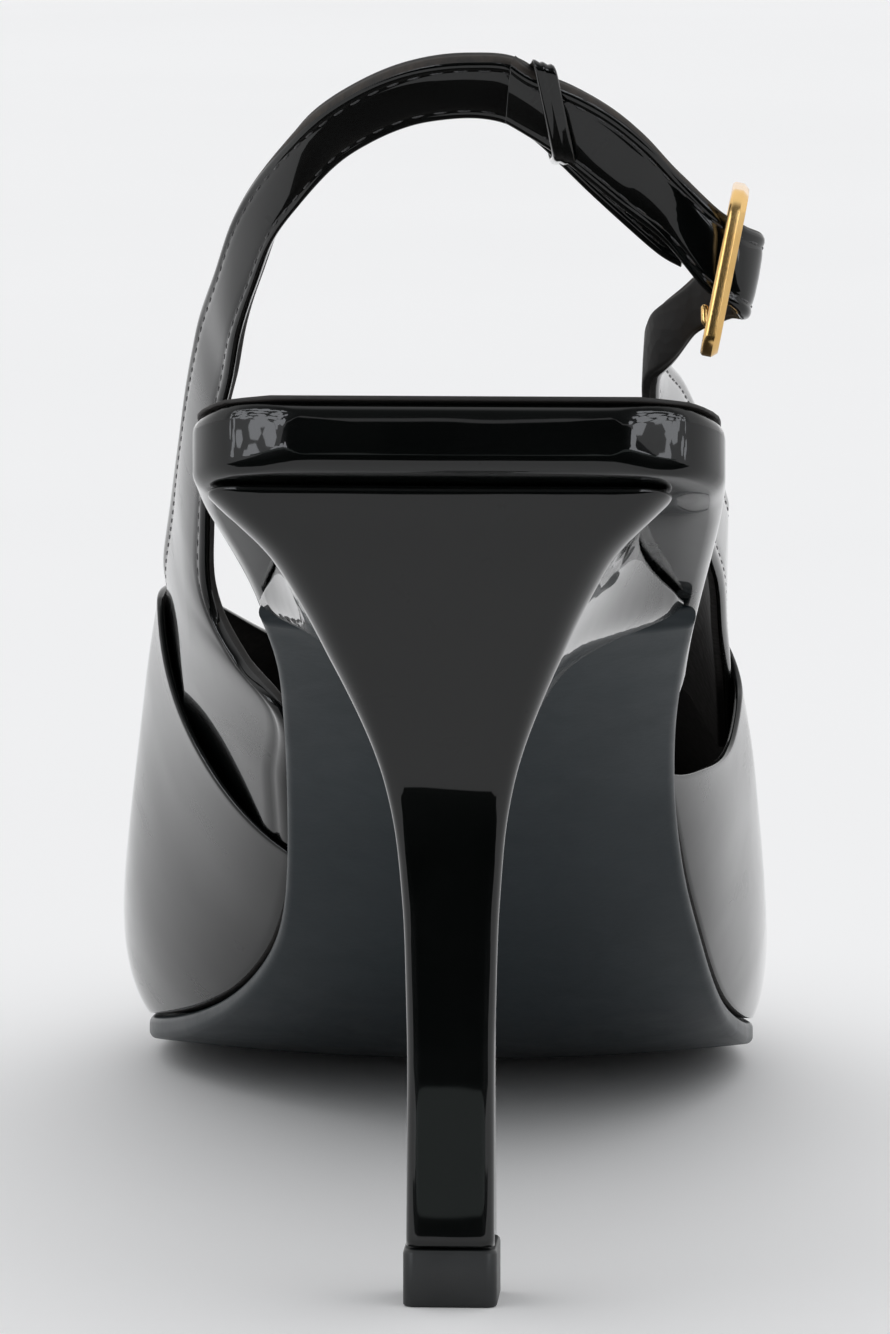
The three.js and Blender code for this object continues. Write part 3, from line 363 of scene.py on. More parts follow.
def wall_at(side, y, z, inset):
    """Distance to the side of the last's wall at a place and height."""
    low = np.zeros_like(y)
    high = np.ones_like(y)
    for _ in range(24):
        middle = (low + high) / 2
        below = wall_point(y + SEAT_BACK, inset, side, middle)[1] < z
        low = np.where(below, middle, low)
        high = np.where(below, high, middle)
    return wall_point(y + SEAT_BACK, inset, side, low)[0]


class Shell:
    """Points and faces of one piece, in millimetres, with a material number for each face."""

    def __init__(self):
        self.points = []
        self.faces = []
        self.slots = []
        self.count = 0

    def add(self, points):
        points = np.asarray(points, float).reshape(-1, 3)
        self.points.append(points)
        self.count += len(points)
        return self.count - len(points)

    def face(self, corners, slot=0):
        self.faces.append(corners)
        self.slots.append(slot)

    def grid(self, points, slot=0, wrap=False):
        """Faces between the rows and columns of a grid; slot is a number or one for each column."""
        rows, width = points.shape[:2]
        start = self.add(points)
        slots = [slot] * width if isinstance(slot, int) else slot
        for i in range(rows - 1):
            for j in range(width if wrap else width - 1):
                a = start + i * width + j
                b = start + i * width + (j + 1) % width
                self.face((a, b, b + width, a + width), slots[j])
        return start

    def fan(self, ring, centre, slot=0):
        """Faces from a closed ring of point numbers to one centre."""
        middle = self.add(centre)
        for j, a in enumerate(ring):
            self.face((a, ring[(j + 1) % len(ring)], middle), slot)

    def tube(self, rings, slot=0):
        """Grid that closes on itself, with a fan over each end."""
        rings = np.asarray(rings)
        width = rings.shape[1]
        start = self.grid(rings, slot, wrap=True)
        end = start + (len(rings) - 1) * width
        cap = slot if isinstance(slot, int) else slot[0]
        self.fan([start + j for j in range(width)], rings[0].mean(0), cap)
        self.fan([end + j for j in range(width)], rings[-1].mean(0), cap)

    def piece(self, name, materials, weld=0.004):
        """Blender object of the piece, in metres, smooth shaded."""
        mesh = bpy.data.meshes.new(name)
        mesh.from_pydata((np.concatenate(self.points) / 1000).tolist(), [], self.faces)
        mesh.polygons.foreach_set("material_index", np.array(self.slots, np.int32))
        for material in materials:
            mesh.materials.append(material)
        made = bpy.data.objects.new(name, mesh)
        bpy.context.scene.collection.objects.link(made)
        shape = bmesh.new()
        shape.from_mesh(mesh)
        bmesh.ops.remove_doubles(shape, verts=shape.verts, dist=weld / 1000)
        bmesh.ops.dissolve_degenerate(shape, dist=weld / 4000, edges=shape.edges)
        bmesh.ops.recalc_face_normals(shape, faces=shape.faces)
        shape.to_mesh(mesh)
        shape.free()
        mesh.polygons.foreach_set("use_smooth", np.ones(len(mesh.polygons), bool))
        return made


def settle(made, slot, *nodes):
    """Puts a piece on the shoe, in place of the plain solids named."""
    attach(made, "root")
    if nodes:
        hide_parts(*nodes)
    return made


def arc(steps):
    """Quarter turn from 0 to 90 degrees as (cosine, sine) pairs, ends left out."""
    turns = np.linspace(0, math.pi / 2, steps + 2)[1:-1]
    return np.stack([np.cos(turns), np.sin(turns)], -1)


def layer_ring(along, left, right, low, high, bend, camber=0.0, floor_at=None, across=17, turns=4):
    """Ring across a flat layer with rounded sides: underside, side, top, side."""
    r = min(bend, (right - left) * 0.3, (high - low) * 0.49)
    f = np.linspace(-1, 1, across)
    middle = (left + right) / 2
    half = max((right - left) / 2 - r, 0)
    y = along - SEAT_BACK
    quarter = arc(turns)
    under = np.stack([middle + f * half, low - camber * (1 - f * f)], -1)
    right_low = np.stack([right - r + r * quarter[:, 1], low + r - r * quarter[:, 0]], -1)
    right_high = np.stack([right - r + r * quarter[:, 0], high - r + r * quarter[:, 1]], -1)
    top = np.stack([middle - f * half, np.full(across, high)], -1)
    left_high = np.stack([left + r - r * quarter[:, 1], high - r + r * quarter[:, 0]], -1)
    left_low = np.stack([left + r - r * quarter[:, 0], low + r - r * quarter[:, 1]], -1)
    sides_right = np.array([[right, low + r], [right, high - r]])
    sides_left = np.array([[left, high - r], [left, low + r]])
    xz = np.concatenate([under, right_low, sides_right, right_high, top, left_high, sides_left, left_low])
    if floor_at is not None:
        xz[:, 1] = np.maximum(xz[:, 1], floor_at)
    return np.stack([xz[:, 0], np.full(len(xz), y), xz[:, 1]], -1)


def stations(start, step, inset):
    """Places from a start to the toe, closer together in the round of the toe."""
    cap_start = SOLE_LENGTH - TOE_CAP
    count = int((cap_start - start) / step)
    turns = np.sin(np.linspace(0, math.pi / 2, 14)[:-1])
    return list(np.linspace(start, cap_start, count, endpoint=False)) + list(
        cap_start + (TOE_CAP - inset) * turns
    )


def wall_room(along):
    """Room that the walls on each side take from the layers inside them."""
    wall = UPPER_WALL + SEAM
    share = along / SOLE_LENGTH
    quarter = (STRAP_WALL + TUCK) * smooth(0.25, 0.32, share) * (1 - smooth(0.55, 0.62, share))
    left = lerp(-BOARD_OVER, wall, smooth(0.25, 0.32, share)) + quarter
    return left, lerp(-BOARD_OVER, wall, smooth(0.29, 0.365, share))


board_thick = curve(
    [0, 40, 70, 96, 240],
    [BOARD_RIM, BOARD_RIM * 0.92, BOARD_RIM * 0.62, BOARD_FRONT, BOARD_FRONT],
)


def build_board(materials):
    """The wrapped board under the foot, whose thick rim shows round the seat."""
    inset = UPPER_WALL + SEAM
    bend = 1.7
    starts = [bend * (1 - math.cos(a)) for a in np.linspace(0, math.pi / 2, 9)]
    shell = Shell()
    rings = []
    for along in starts + stations(2.4, 1.6, inset):
        left, right, rise = edge_at(along, inset, *wall_room(along))
        soft = bend * (1 - math.sqrt(max(0.0, 1 - (1 - min(along / bend, 1)) ** 2)))
        rings.append(
            layer_ring(along, left + soft, right - soft, rise + soft, rise + board_thick(along) - soft, bend)
        )
    shell.tube(rings)
    return settle(shell.piece("insole_board_wrapped", materials), "patent", "insole_board")


def build_sock(materials):
    """The lining on which the foot stands."""
    inset = UPPER_WALL + SEAM
    shell = Shell()
    rings = []
    for along in [0.35, 0.7, 1.3, 2.2, 3] + stations(4, 1.6, inset):
        room_left, room_right = wall_room(along)
        left, right, rise = edge_at(along, inset, room_left + 0.5, room_right + 0.5)
        low = rise + board_thick(along) + 0.08
        rings.append(layer_ring(along, left, right, low, low + SOCK_SEEN, 0.3, turns=2))
    shell.tube(rings)
    return settle(shell.piece("sock_lining", materials), "sock", "sock")


def build_outsole(materials):
    """The sole from the heel's breast to the toe, with its flat spot under the ball."""
    shell = Shell()
    rings = []
    for along in stations(49.5 + SEAM, 1.5, 0):
        left, right, rise = edge_at(along, 0, 0, 0)
        front = smooth(110, 160, along)
        high = rise - seam_at(along)
        camber = SOLE_CAMBER * cap_shrink(along, 0) * lerp(0.75, 1, front)
        low = high - lerp(SOLE_WAIST, SOLE_FRONT, front)
        rings.append(layer_ring(along, left, right, low, high, 0.9, camber, 0.0, across=41))
    shell.tube(rings)
    return settle(shell.piece("outsole_leather", materials), "outsole", "outsole")


def build_upper(materials):
    """The vamp: one sheet over the last, lined inside, with a turned edge round the opening."""
    across = 144
    cap_start = SOLE_LENGTH - TOE_CAP
    around = (np.arange(across + 1) / across)[:, None]
    first = topline(around)
    steps = np.linspace(0, 1, 72)[None, :] ** 1.25
    turns = np.sin(np.linspace(0, math.pi / 2, 16)[1:])[None, :]

    def face(inset):
        body = lerp(first, cap_start, steps)
        cap = np.repeat(cap_start + (TOE_CAP - inset) * turns, across + 1, 0)
        along = np.concatenate([body, cap], 1)
        return around_point(along, np.broadcast_to(around, along.shape), inset)

    outer = face(0.0)
    inner = face(UPPER_WALL)
    skive = (1 - smooth(0, 12, np.arange(outer.shape[1])))[None, :, None] * 0.36
    outer = lerp(outer, inner, skive)
    middle = (outer[:, 0] + inner[:, 0]) / 2
    out = outer[:, 0] - middle
    back = outer[:, 0] - outer[:, 1]
    size = np.linalg.norm(out, axis=1, keepdims=True)
    back = back - out * (back * out).sum(1, keepdims=True) / size**2
    back *= size / np.linalg.norm(back, axis=1, keepdims=True)
    rolled = [
        middle + out * math.cos(a) + back * math.sin(a) * 0.9
        for a in np.linspace(0, math.pi, 9)[1:-1]
    ]
    rolled = np.stack(rolled, 1)
    length = outer.shape[1]
    ring = np.concatenate([outer[:, ::-1], rolled, inner], 1)
    slots = [0] * (length + rolled.shape[1] - 2) + [1] * (length + 2)
    shell = Shell()
    start = shell.grid(ring, slots)
    width = ring.shape[1]
    for i in (0, across):
        base = start + i * width
        for j in range(width // 2):
            corners = (base + j, base + j + 1, base + width - 2 - j, base + width - 1 - j)
            shell.face(corners, 1)
    return settle(shell.piece("upper_vamp", materials, 0.02), "patent", "upper")


def strap_table(rows):
    units = (BALL_WIDTH, SOLE_LENGTH, SEAT_HEIGHT) * 2 + (1,)
    return np.array(rows, float) * np.array(units, float)


def row_value(rows, s, column):
    """Smooth value between the rows of a strap."""
    last = len(rows) - 1
    i = np.clip(np.floor(s).astype(int), 0, last - 1)
    t = s - i
    value = rows[:, column]
    before = value[np.clip(i - 1, 0, last)]
    here = value[i]
    after = value[i + 1]
    beyond = value[np.clip(i + 2, 0, last)]
    a = (1 + 2 * t) * (1 - t) ** 2 * here + t * (1 - t) ** 2 * (after - before) / 2
    return a + t * t * (3 - 2 * t) * after + t * t * (t - 1) * (beyond - here) / 2


def strap_point(rows, side, s, f):
    """Point of a strap's outer face: s counts rows, f runs from the upper to the lower edge."""
    s, f = np.broadcast_arrays(np.asarray(s, float), np.asarray(f, float))
    y = lerp(row_value(rows, s, 1), row_value(rows, s, 4), f)
    z = lerp(row_value(rows, s, 2), row_value(rows, s, 5), f)
    free = lerp(row_value(rows, s, 0), row_value(rows, s, 3), f)
    on = np.clip(row_value(rows, s, 6), 0, 1)
    if side == "medial":
        on = lerp(on, np.maximum(on, 1 - smooth(2, 7.5, s)), 4 * f * (1 - f))
    if np.any(on > 0):
        free = np.where(on > 0, lerp(free, wall_at(side, y, z, UPPER_WALL + LIE), on), free)
    return np.stack([free, y, z], -1)


def unit(v):
    return v / np.maximum(np.linalg.norm(v, axis=-1, keepdims=True), 1e-9)


def strap_inward(rows, side, s, f):
    """Direction from a strap's outer face into it."""
    last = len(rows) - 1
    s = np.asarray(s, float)
    f = np.asarray(f, float)
    along = strap_point(rows, side, np.minimum(s + 0.2, last), f)
    along = along - strap_point(rows, side, np.maximum(s - 0.2, 0), f)
    down = strap_point(rows, side, s, np.minimum(f + 0.1, 1))
    down = down - strap_point(rows, side, s, np.maximum(f - 0.1, 0))
    return unit(np.cross(along, down)) * (1 if side == "medial" else -1)


# Section of a strap as (edge counted from, distance from it, depth under the outer face)
GROOVE = 1.45
STRAP_SECTION = [
    (0, 0.0, 0.85), (0, 0.05, 0.5), (0, 0.22, 0.22), (0, 0.5, 0.06), (0, 0.85, 0.0),
    (0, 1.15, 0.06), (0, GROOVE, 0.16), (0, 1.75, 0.06), (0, 2.15, 0.0), (0, 2.7, -0.05),
    (0.5, 0.0, -0.1),
    (1, 2.7, -0.05), (1, 2.15, 0.0), (1, 1.75, 0.06), (1, GROOVE, 0.16), (1, 1.15, 0.06),
    (1, 0.85, 0.0), (1, 0.5, 0.06), (1, 0.22, 0.22), (1, 0.05, 0.5), (1, 0.0, 0.85),
    (1, 0.06, 1.1), (1, 0.24, 1.22), (1, 0.3, 1.6), (1, 0.42, 1.85), (1, 0.8, 1.97),
    (0.5, 0.0, 2.0),
    (0, 0.8, 1.97), (0, 0.42, 1.85), (0, 0.3, 1.6), (0, 0.24, 1.22), (0, 0.06, 1.1),
]
LINED_FROM = 21


def strap_rings(rows, side, s, shrink):
    """Rings of points round a strap, one for each place along it."""
    s = np.array(s, float)[:, None]
    shrink = np.array(shrink, float)[:, None]
    edge, away, depth = np.array(STRAP_SECTION).T
    wide = np.linalg.norm(strap_point(rows, side, s, 1.0) - strap_point(rows, side, s, 0.0), axis=-1)
    near = (shrink + away * (1 - shrink / 3)) / wide
    f = np.where(edge == 0.5, 0.5, np.where(edge == 0, near, 1 - near))
    depth = lerp(depth, STRAP_WALL / 2, shrink / 1.2)
    inward = strap_inward(rows, side, np.broadcast_to(s, f.shape), f)
    return strap_point(rows, side, s, f) + inward * depth[..., None]


def build_strap(name, rows, side, steps, materials, node):
    """One strap: patent outside with its edges turned over, lining inside."""
    last = len(rows) - 1
    ends = [(0.0, 1.0), (0.01, 0.45), (0.03, 0.12)]
    places = ends + [(s, 0.0) for s in np.linspace(0.06, last - 0.06, steps)]
    places += [(last - s, shrink) for s, shrink in reversed(ends)]
    shell = Shell()
    rings = strap_rings(rows, side, [s for s, _ in places], [shrink for _, shrink in places])
    slots = [0] * LINED_FROM + [1] * (len(STRAP_SECTION) - LINED_FROM)
    slots[:2] = [2, 2]
    slots[-2:] = [2, 2]
    shell.tube(rings, slots)
    return settle(shell.piece(name, materials), "patent", node)


def tip_rows(sling):
    """The end of the buckle strap lies on the sling strap, one layer further out and a little higher."""
    last = len(sling) - 1
    rows = []
    for back in [1.2, 2.3, 3.3, 4.3, 5.3, 6.0]:
        s = last - back
        out = strap_inward(sling, "medial", s, 0.5) * -(STRAP_WALL + TUCK)
        upper = strap_point(sling, "medial", s, 0)
        lower = strap_point(sling, "medial", s, 1)
        rise = unit(upper - lower) * TIP_RISE
        rows.append([*(upper + out + rise), *(lower + out + rise), 0])
    return np.array(rows)


def stitch_path(rows, side, edge, away, start, end):
    """Places and directions along one row of stitches, spaced evenly by length."""
    s = np.linspace(start, end, 900)
    upper = strap_point(rows, side, s, 0)
    lower = strap_point(rows, side, s, 1)
    share = away / np.linalg.norm(lower - upper, axis=-1)
    f = share if edge == 0 else 1 - share
    inward = strap_inward(rows, side, s, f)
    places = strap_point(rows, side, s, f) + inward * 0.13
    length = np.concatenate([[0], np.cumsum(np.linalg.norm(np.diff(places, axis=0), axis=1))])
    return places, -inward, length


def add_stitches(shell, places, out, length, pitch, long, radius):
    """Short sunken dashes of thread along a path."""
    turns = np.arange(6) * 2 * math.pi / 6
    share = np.array([-0.5, -0.42, -0.2, 0.2, 0.42, 0.5])
    size = np.array([0.25, 0.8, 1.0, 1.0, 0.8, 0.25]) * radius
    middles = np.arange(pitch, length[-1] - pitch, pitch)
    at = middles[:, None] + share * long

    def along(values, where):
        return np.stack([np.interp(where, length, values[:, k]) for k in range(3)], -1)

    forward = unit(along(places, at + 0.1) - along(places, at - 0.1))
    up = along(out, at)
    up = unit(up - forward * (up * forward).sum(-1, keepdims=True))
    across = np.cross(forward, up)
    dive = -1.6 * radius * (2 * abs(share)) ** 3
    centre = along(places, at) + up * dive[:, None]
    ring_up = up[:, :, None] * (size[:, None] * np.cos(turns))[..., None]
    ring_across = across[:, :, None] * (size[:, None] * np.sin(turns))[..., None]
    for rings in centre[:, :, None] + ring_up + ring_across:
        shell.tube(rings)


def build_stitches(name, runs, materials):
    """All the stitches of one strap as one piece."""
    shell = Shell()
    for rows, side, edge, away, start, end in runs:
        places, out, length = stitch_path(rows, side, edge, away, start, end)
        add_stitches(shell, places, out, length, 2.55, 1.8, 0.14)
    return settle(shell.piece(name, materials, 0.001), "patent")


def heel_ring(z, corner_steps=6, side_steps=10):
    """Outline of the heel at a height, from its back left corner round by the right side."""
    back = heel_back(z) - TIP_DEPTH / 2
    front = heel_front(z) + TIP_DEPTH / 2
    back_half = lerp(TIP_WIDTH, SEAT_WIDTH, heel_back_flare(z)) / 2
    front_half = lerp(TIP_WIDTH, SEAT_WIDTH, heel_front_flare(z)) / 2
    dip = heel_dip(z)
    r = HEEL_CORNER
    wide_r = lerp(HEEL_CORNER, SEAT_CORNER, smooth(0.55 * SEAT_HEIGHT, 0.93 * SEAT_HEIGHT, z))
    aside = smooth(40, 90, z)

    def corner(x, y, radius, turn):
        turns = turn + np.linspace(0, math.pi / 2, corner_steps + 1)
        return np.stack([x + radius * np.cos(turns), y + radius * np.sin(turns)], -1)

    t = np.linspace(0, 1, side_steps + 1)[1:-1]
    side = lerp(back_half, front_half, t) - np.sin(math.pi * t) * (front - back) * 0.03
    along = lerp(back + wide_r, front - r, t)
    f = np.linspace(1, -1, 2 * side_steps + 1)[1:-1]
    breast = np.stack([f * (front_half - r), front - dip * (1 - f * f)], -1)
    rear = np.stack([-f * (back_half - wide_r), np.full(len(f), back)], -1)
    parts = [
        corner(-back_half + wide_r, back + wide_r, wide_r, math.pi),
        rear,
        corner(back_half - wide_r, back + wide_r, wide_r, 1.5 * math.pi),
        np.stack([side, along], -1),
        corner(front_half - r, front - r, r, 0),
        breast,
        corner(-front_half + r, front - r, r, math.pi / 2),
        np.stack([-side, along], -1)[::-1],
    ]
    ring = np.concatenate(parts)
    shift = aside * lerp(HEEL_BACK_SIDE, HEEL_FRONT_SIDE, (ring[:, 1] - back) / (front - back))
    return np.stack([ring[:, 0] + shift, ring[:, 1], np.full(len(ring), z)], -1)


def build_heel(materials):
    """The covered heel: its walls rise to the underside of the seat and turn in there."""
    start = LIFT_HEIGHT + SEAM
    z = np.linspace(start, 92.5, 460)
    walls = np.array([heel_ring(v) for v in z])
    roof = edge_rise(walls[..., 1] + SEAT_BACK) - seam_at(walls[..., 1] + SEAT_BACK)
    over = walls[..., 2] > roof
    first = np.argmax(over, 0)
    bend = 0.8
    spread = 1 - (1 - np.linspace(0, 1, 150)) ** 1.35
    columns_made = []
    for j in range(walls.shape[1]):
        i = first[j]
        gap_low = roof[i - 1, j] - walls[i - 1, j, 2]
        gap_high = walls[i, j, 2] - roof[i, j]
        top = z[i - 1] + (z[i] - z[i - 1]) * gap_low / (gap_low + gap_high)
        levels = start + (top - start) * spread
        columns_made.append(np.stack([np.interp(levels, z, walls[:, j, k]) for k in range(3)], -1))
    grid = np.array(columns_made).transpose(1, 0, 2)
    top_ring = grid[-1]
    centre = top_ring.mean(0)
    inward = unit((centre - top_ring) * np.array([1, 1, 0]))
    for k in range(150):
        below = top_ring[:, 2] - grid[k, :, 2]
        share = np.clip(1 - below / bend, 0, 1)
        grid[k] += inward * (bend * (1 - np.sqrt(1 - share**2)))[:, None]
    shell = Shell()
    width = grid.shape[1]
    base = grid[0] + np.array([0, 0, 0])
    rings = [base * np.array([0.9, 0.9, 1]), *grid]
    edge_ring = grid[-1]
    for share in (0.25, 0.5, 0.75):
        ring = lerp(edge_ring, centre, share)
        ring[:, 2] = edge_rise(ring[:, 1] + SEAT_BACK) - seam_at(ring[:, 1] + SEAT_BACK)
        rings.append(ring)
    shell.tube(np.array(rings))
    return settle(shell.piece("heel_covered", materials), "patent", "heel")


def build_lift(materials):
    """The top-lift under the heel's tip."""
    r = 1.2
    shell = Shell()
    rings = []
    levels = [(0.0, 0.35), (0.08, 0.12), (0.25, 0.0), (5.7, 0.0), (6.0, 0.08), (LIFT_HEIGHT, 0.3)]
    for z, inset in levels:
        w = TIP_WIDTH / 2 + LIFT_LIP - r
        d = TIP_DEPTH / 2 + LIFT_LIP / 2 - r
        ring = []
        for x, y, turn in [(-w, -d, 2), (w, -d, 3), (w, d, 0), (-w, d, 1)]:
            for a in np.linspace(0, math.pi / 2, 9) + turn * math.pi / 2:
                ring.append([x + (r - inset) * math.cos(a), y + (r - inset) * math.sin(a), z])
        rings.append(ring)
    shell.tube(rings)
    return settle(shell.piece("top_lift_rubber", materials), "top_lift", "top_lift")


def rounded_path(half_a, half_b, r, steps):
    """Rounded rectangle as places with the direction that faces out of it."""
    path = []
    for a, b, turn in [(-1, -1, 2), (1, -1, 3), (1, 1, 0), (-1, 1, 1)]:
        for angle in (turn + np.linspace(0, 1, steps + 1)) * math.pi / 2:
            out = (math.cos(angle), math.sin(angle))
            path.append(((a * (half_a - r) + r * out[0], b * (half_b - r) + r * out[1]), out))
    return path


def add_hoop(shell, centre, axis_a, axis_b, path, section):
    """Closed hoop: the section's points lie outwards from the path and along the hoop's axis."""
    axis = unit(np.cross(axis_a, axis_b))
    rings = []
    for at, out in path:
        ring = []
        for away, side in section:
            place = axis_a * (at[0] + out[0] * away) + axis_b * (at[1] + out[1] * away)
            ring.append(centre + place + axis * side)
        rings.append(ring)
    rings.append(rings[0])
    shell.grid(np.array(rings), wrap=True)


def round_section(radius, sides):
    angles = (np.arange(sides) + 0.5) * 2 * math.pi / sides
    return [(radius * math.cos(a), radius * math.sin(a)) for a in angles]


def add_rod(shell, points, radius, steps=60, sides=16, blunt=0.35):
    """Round rod along a smooth path, its ends rounded over."""
    points = np.array(points, float)
    length = np.concatenate([[0], np.cumsum(np.linalg.norm(np.diff(points, axis=0), axis=1))])
    at = np.linspace(0, length[-1], 400)
    path = np.stack([curve(length, points[:, k])(at) for k in range(3)], -1)
    ends = np.array([0, 0.15, 0.5, 1]) * blunt
    inner = np.linspace(blunt, length[-1] - blunt, steps)[1:-1]
    places = np.concatenate([ends, inner, length[-1] - ends[::-1]])
    rings = []
    side = None
    for place in places:
        centre = np.array([np.interp(place, at, path[:, k]) for k in range(3)])
        ahead = np.array([np.interp(place + 0.1, at, path[:, k]) for k in range(3)])
        behind = np.array([np.interp(place - 0.1, at, path[:, k]) for k in range(3)])
        forward = unit(ahead - behind)
        if side is None:
            side = np.array([0.0, 0, 1]) if abs(forward[2]) < 0.9 else np.array([1.0, 0, 0])
        side = unit(side - forward * np.dot(side, forward))
        across = np.cross(forward, side)
        near = min(place, length[-1] - place) / blunt
        size = radius * math.sqrt(max(0.2, 1 - max(0, 1 - near) ** 2))
        rings.append([centre + side * a + across * b for a, b in round_section(size, sides)])
    shell.tube(rings)


def build_keeper(sling, materials):
    """The loop that holds both layers of strap."""
    s = len(sling) - 1 - KEEPER_BACK
    upper = strap_point(sling, "medial", s, 0)
    lower = strap_point(sling, "medial", s, 1)
    inward = strap_inward(sling, "medial", s, 0.5)
    across = lower - upper
    half = np.linalg.norm(across) / 2 + KEEPER_ROOM
    across = unit(across)
    inward = unit(inward - across * np.dot(inward, across))
    thick = 2 * STRAP_WALL + TUCK
    centre = lerp(upper, lower, 0.5) + inward * (STRAP_WALL - thick / 2) - across * TIP_RISE / 2
    w = KEEPER_WIDE / 2
    wall = KEEPER_WALL
    section = [(0.0, -w + 0.2), (0.2, -w), (wall - 0.25, -w), (wall - 0.05, -w + 0.15), (wall, -w + 0.4)]
    section += [(wall - 0.16, -0.42), (wall - 0.02, -0.1), (wall - 0.02, 0.1), (wall - 0.16, 0.42)]
    section += [(wall, w - 0.4), (wall - 0.05, w - 0.15), (wall - 0.25, w), (0.2, w), (0.0, w - 0.2)]
    shell = Shell()
    add_hoop(shell, centre, across, inward, rounded_path(half, thick / 2 + KEEPER_ROOM, 0.9, 8), section)
    along = unit(strap_point(sling, "medial", s + 0.3, 0.5) - strap_point(sling, "medial", s - 0.3, 0.5))
    places = shell.points[0]
    slide = ((places - centre) @ across)[:, None] * math.tan(KEEPER_SKEW)
    drop = ((places - centre) @ inward)[:, None] * TIP_RISE / (thick - STRAP_WALL)
    shell.points[0] = places + along * slide + across * drop
    return settle(shell.piece("keeper_loop_patent", materials), "patent", "keeper_loop")


# Axes of the buckle: long runs along its bars, deep from the back bar to the front bar
FRAME_MIDDLE = np.array([0.3633 * BALL_WIDTH, -0.006 * SOLE_LENGTH, 1.2244 * SEAT_HEIGHT])
FRAME_LONG_AXIS = np.array([math.sin(FRAME_LEAN), 0, math.cos(FRAME_LEAN)])
FRAME_DEEP_AXIS = np.array([0.02, 0.985, 0.17])
FRAME_DEEP_AXIS = unit(FRAME_DEEP_AXIS - FRAME_LONG_AXIS * np.dot(FRAME_DEEP_AXIS, FRAME_LONG_AXIS))
FRAME_OUT_AXIS = unit(np.cross(FRAME_DEEP_AXIS, FRAME_LONG_AXIS))
PRONG_ROWS = [
    (-1.4, -1.5, -3.9), (-1.05, -1.8, -5.5), (-0.55, -1.8, -5.9), (-0.35, -1.5, -4.2),
    (-0.2, -1.3, -1.3), (0.3, -1.1, -0.2), (1.3, 0.0, 0.0), (1.6, 1.8, 0.1), (1.9, 4.2, 0.2),
    (2.0, 7.4, 0.2),
]


# Section of the frame in half wires: away from its middle, then towards the foot; its outer rim is bevelled
FRAME_SECTION = [
    (1, 0.35), (1, -0.28), (0.985, -0.33), (0.45, -0.96), (0.38, -1), (0, -1), (-0.6, -1),
    (-0.85, -0.95), (-0.96, -0.82), (-1, -0.6), (-1, 0), (-1, 0.6), (-0.96, 0.82), (-0.85, 0.95),
    (-0.6, 1), (0, 1), (0.66, 1), (0.75, 0.97), (0.96, 0.76), (1, 0.7),
]


def frame_point(out, deep, long):
    return FRAME_MIDDLE + FRAME_OUT_AXIS * out + FRAME_DEEP_AXIS * deep + FRAME_LONG_AXIS * long


def build_buckle(materials):
    """The buckle's frame with its centre bar, and the prong that comes through the strap's hole."""
    half_long = (FRAME_LONG - FRAME_WIRE) / 2
    half_deep = (FRAME_DEEP - FRAME_WIRE) / 2
    w = FRAME_WIRE / 2
    section = [(w * away, w * side) for away, side in FRAME_SECTION]
    shell = Shell()
    path = rounded_path(half_long, half_deep, 1.8, 12)
    add_hoop(shell, FRAME_MIDDLE, FRAME_LONG_AXIS, FRAME_DEEP_AXIS, path, section)
    add_rod(shell, [frame_point(0, 0, -half_long), frame_point(0, 0, half_long)], BAR_WIRE / 2, 4, 20)
    settle(shell.piece("buckle_frame_gold", materials), "buckle", "buckle_frame")
    shell = Shell()
    add_rod(shell, [frame_point(*row) for row in PRONG_ROWS], PRONG_WIRE / 2, 70, 18)
    settle(shell.piece("buckle_prong_gold", materials), "buckle", "buckle_prong")


def rim_of_hole(shell, centre, out, along, radius):
    """Punched hole shown as a dark sunken disc with a soft rim."""
    side = unit(np.cross(out, along))
    along = unit(np.cross(side, out))
    rings = []
    for away, high in [(1.25, -0.02), (1.1, 0.05), (0.95, 0.04), (0.85, -0.12), (0.4, -0.14), (0.02, -0.14)]:
        turns = np.linspace(0, 2 * math.pi, 25)[:-1]
        rings.append(
            [
                centre + out * high + (along * math.cos(t) + side * math.sin(t)) * radius * away
                for t in turns
            ]
        )
    shell.grid(np.array(rings), wrap=True)


# Materials


def node(tree, kind, place, **values):
    made = tree.nodes.new(kind)
    made.location = place
    for name, value in values.items():
        if hasattr(made, name):
            setattr(made, name, value)
        else:
            made.inputs[name.replace("_", " ").title()].default_value = value
    return made


def noise(tree, coords, scale, detail, rough=0.5, distortion=0.0):
    made = tree.nodes.new("ShaderNodeTexNoise")
    made.inputs["Scale"].default_value = scale
    made.inputs["Detail"].default_value = detail
    made.inputs["Roughness"].default_value = rough
    made.inputs["Distortion"].default_value = distortion
    tree.links.new(coords, made.inputs["Vector"])
    return made.outputs["Fac"]


def ramp(tree, value, stops):
    made = tree.nodes.new("ShaderNodeValToRGB")
    elements = made.color_ramp.elements
    while len(elements) < len(stops):
        elements.new(0.5)
    for element, (place, colour) in zip(elements, stops):
        element.position = place
        element.color = colour if len(colour) == 4 else (*colour, 1)
    tree.links.new(value, made.inputs["Fac"])
    return made.outputs["Color"]


def between(tree, value, low, high, from_low=0.0, from_high=1.0):
    made = tree.nodes.new("ShaderNodeMapRange")
    made.inputs["From Min"].default_value = from_low
    made.inputs["From Max"].default_value = from_high
    made.inputs["To Min"].default_value = low
    made.inputs["To Max"].default_value = high
    tree.links.new(value, made.inputs["Value"])
    return made.outputs["Result"]


def bump(tree, height, strength, distance, normal=None):
    made = tree.nodes.new("ShaderNodeBump")
    made.inputs["Strength"].default_value = strength
    made.inputs["Distance"].default_value = distance
    tree.links.new(height, made.inputs["Height"])
    if normal is not None:
        tree.links.new(normal, made.inputs["Normal"])
    return made.outputs["Normal"]


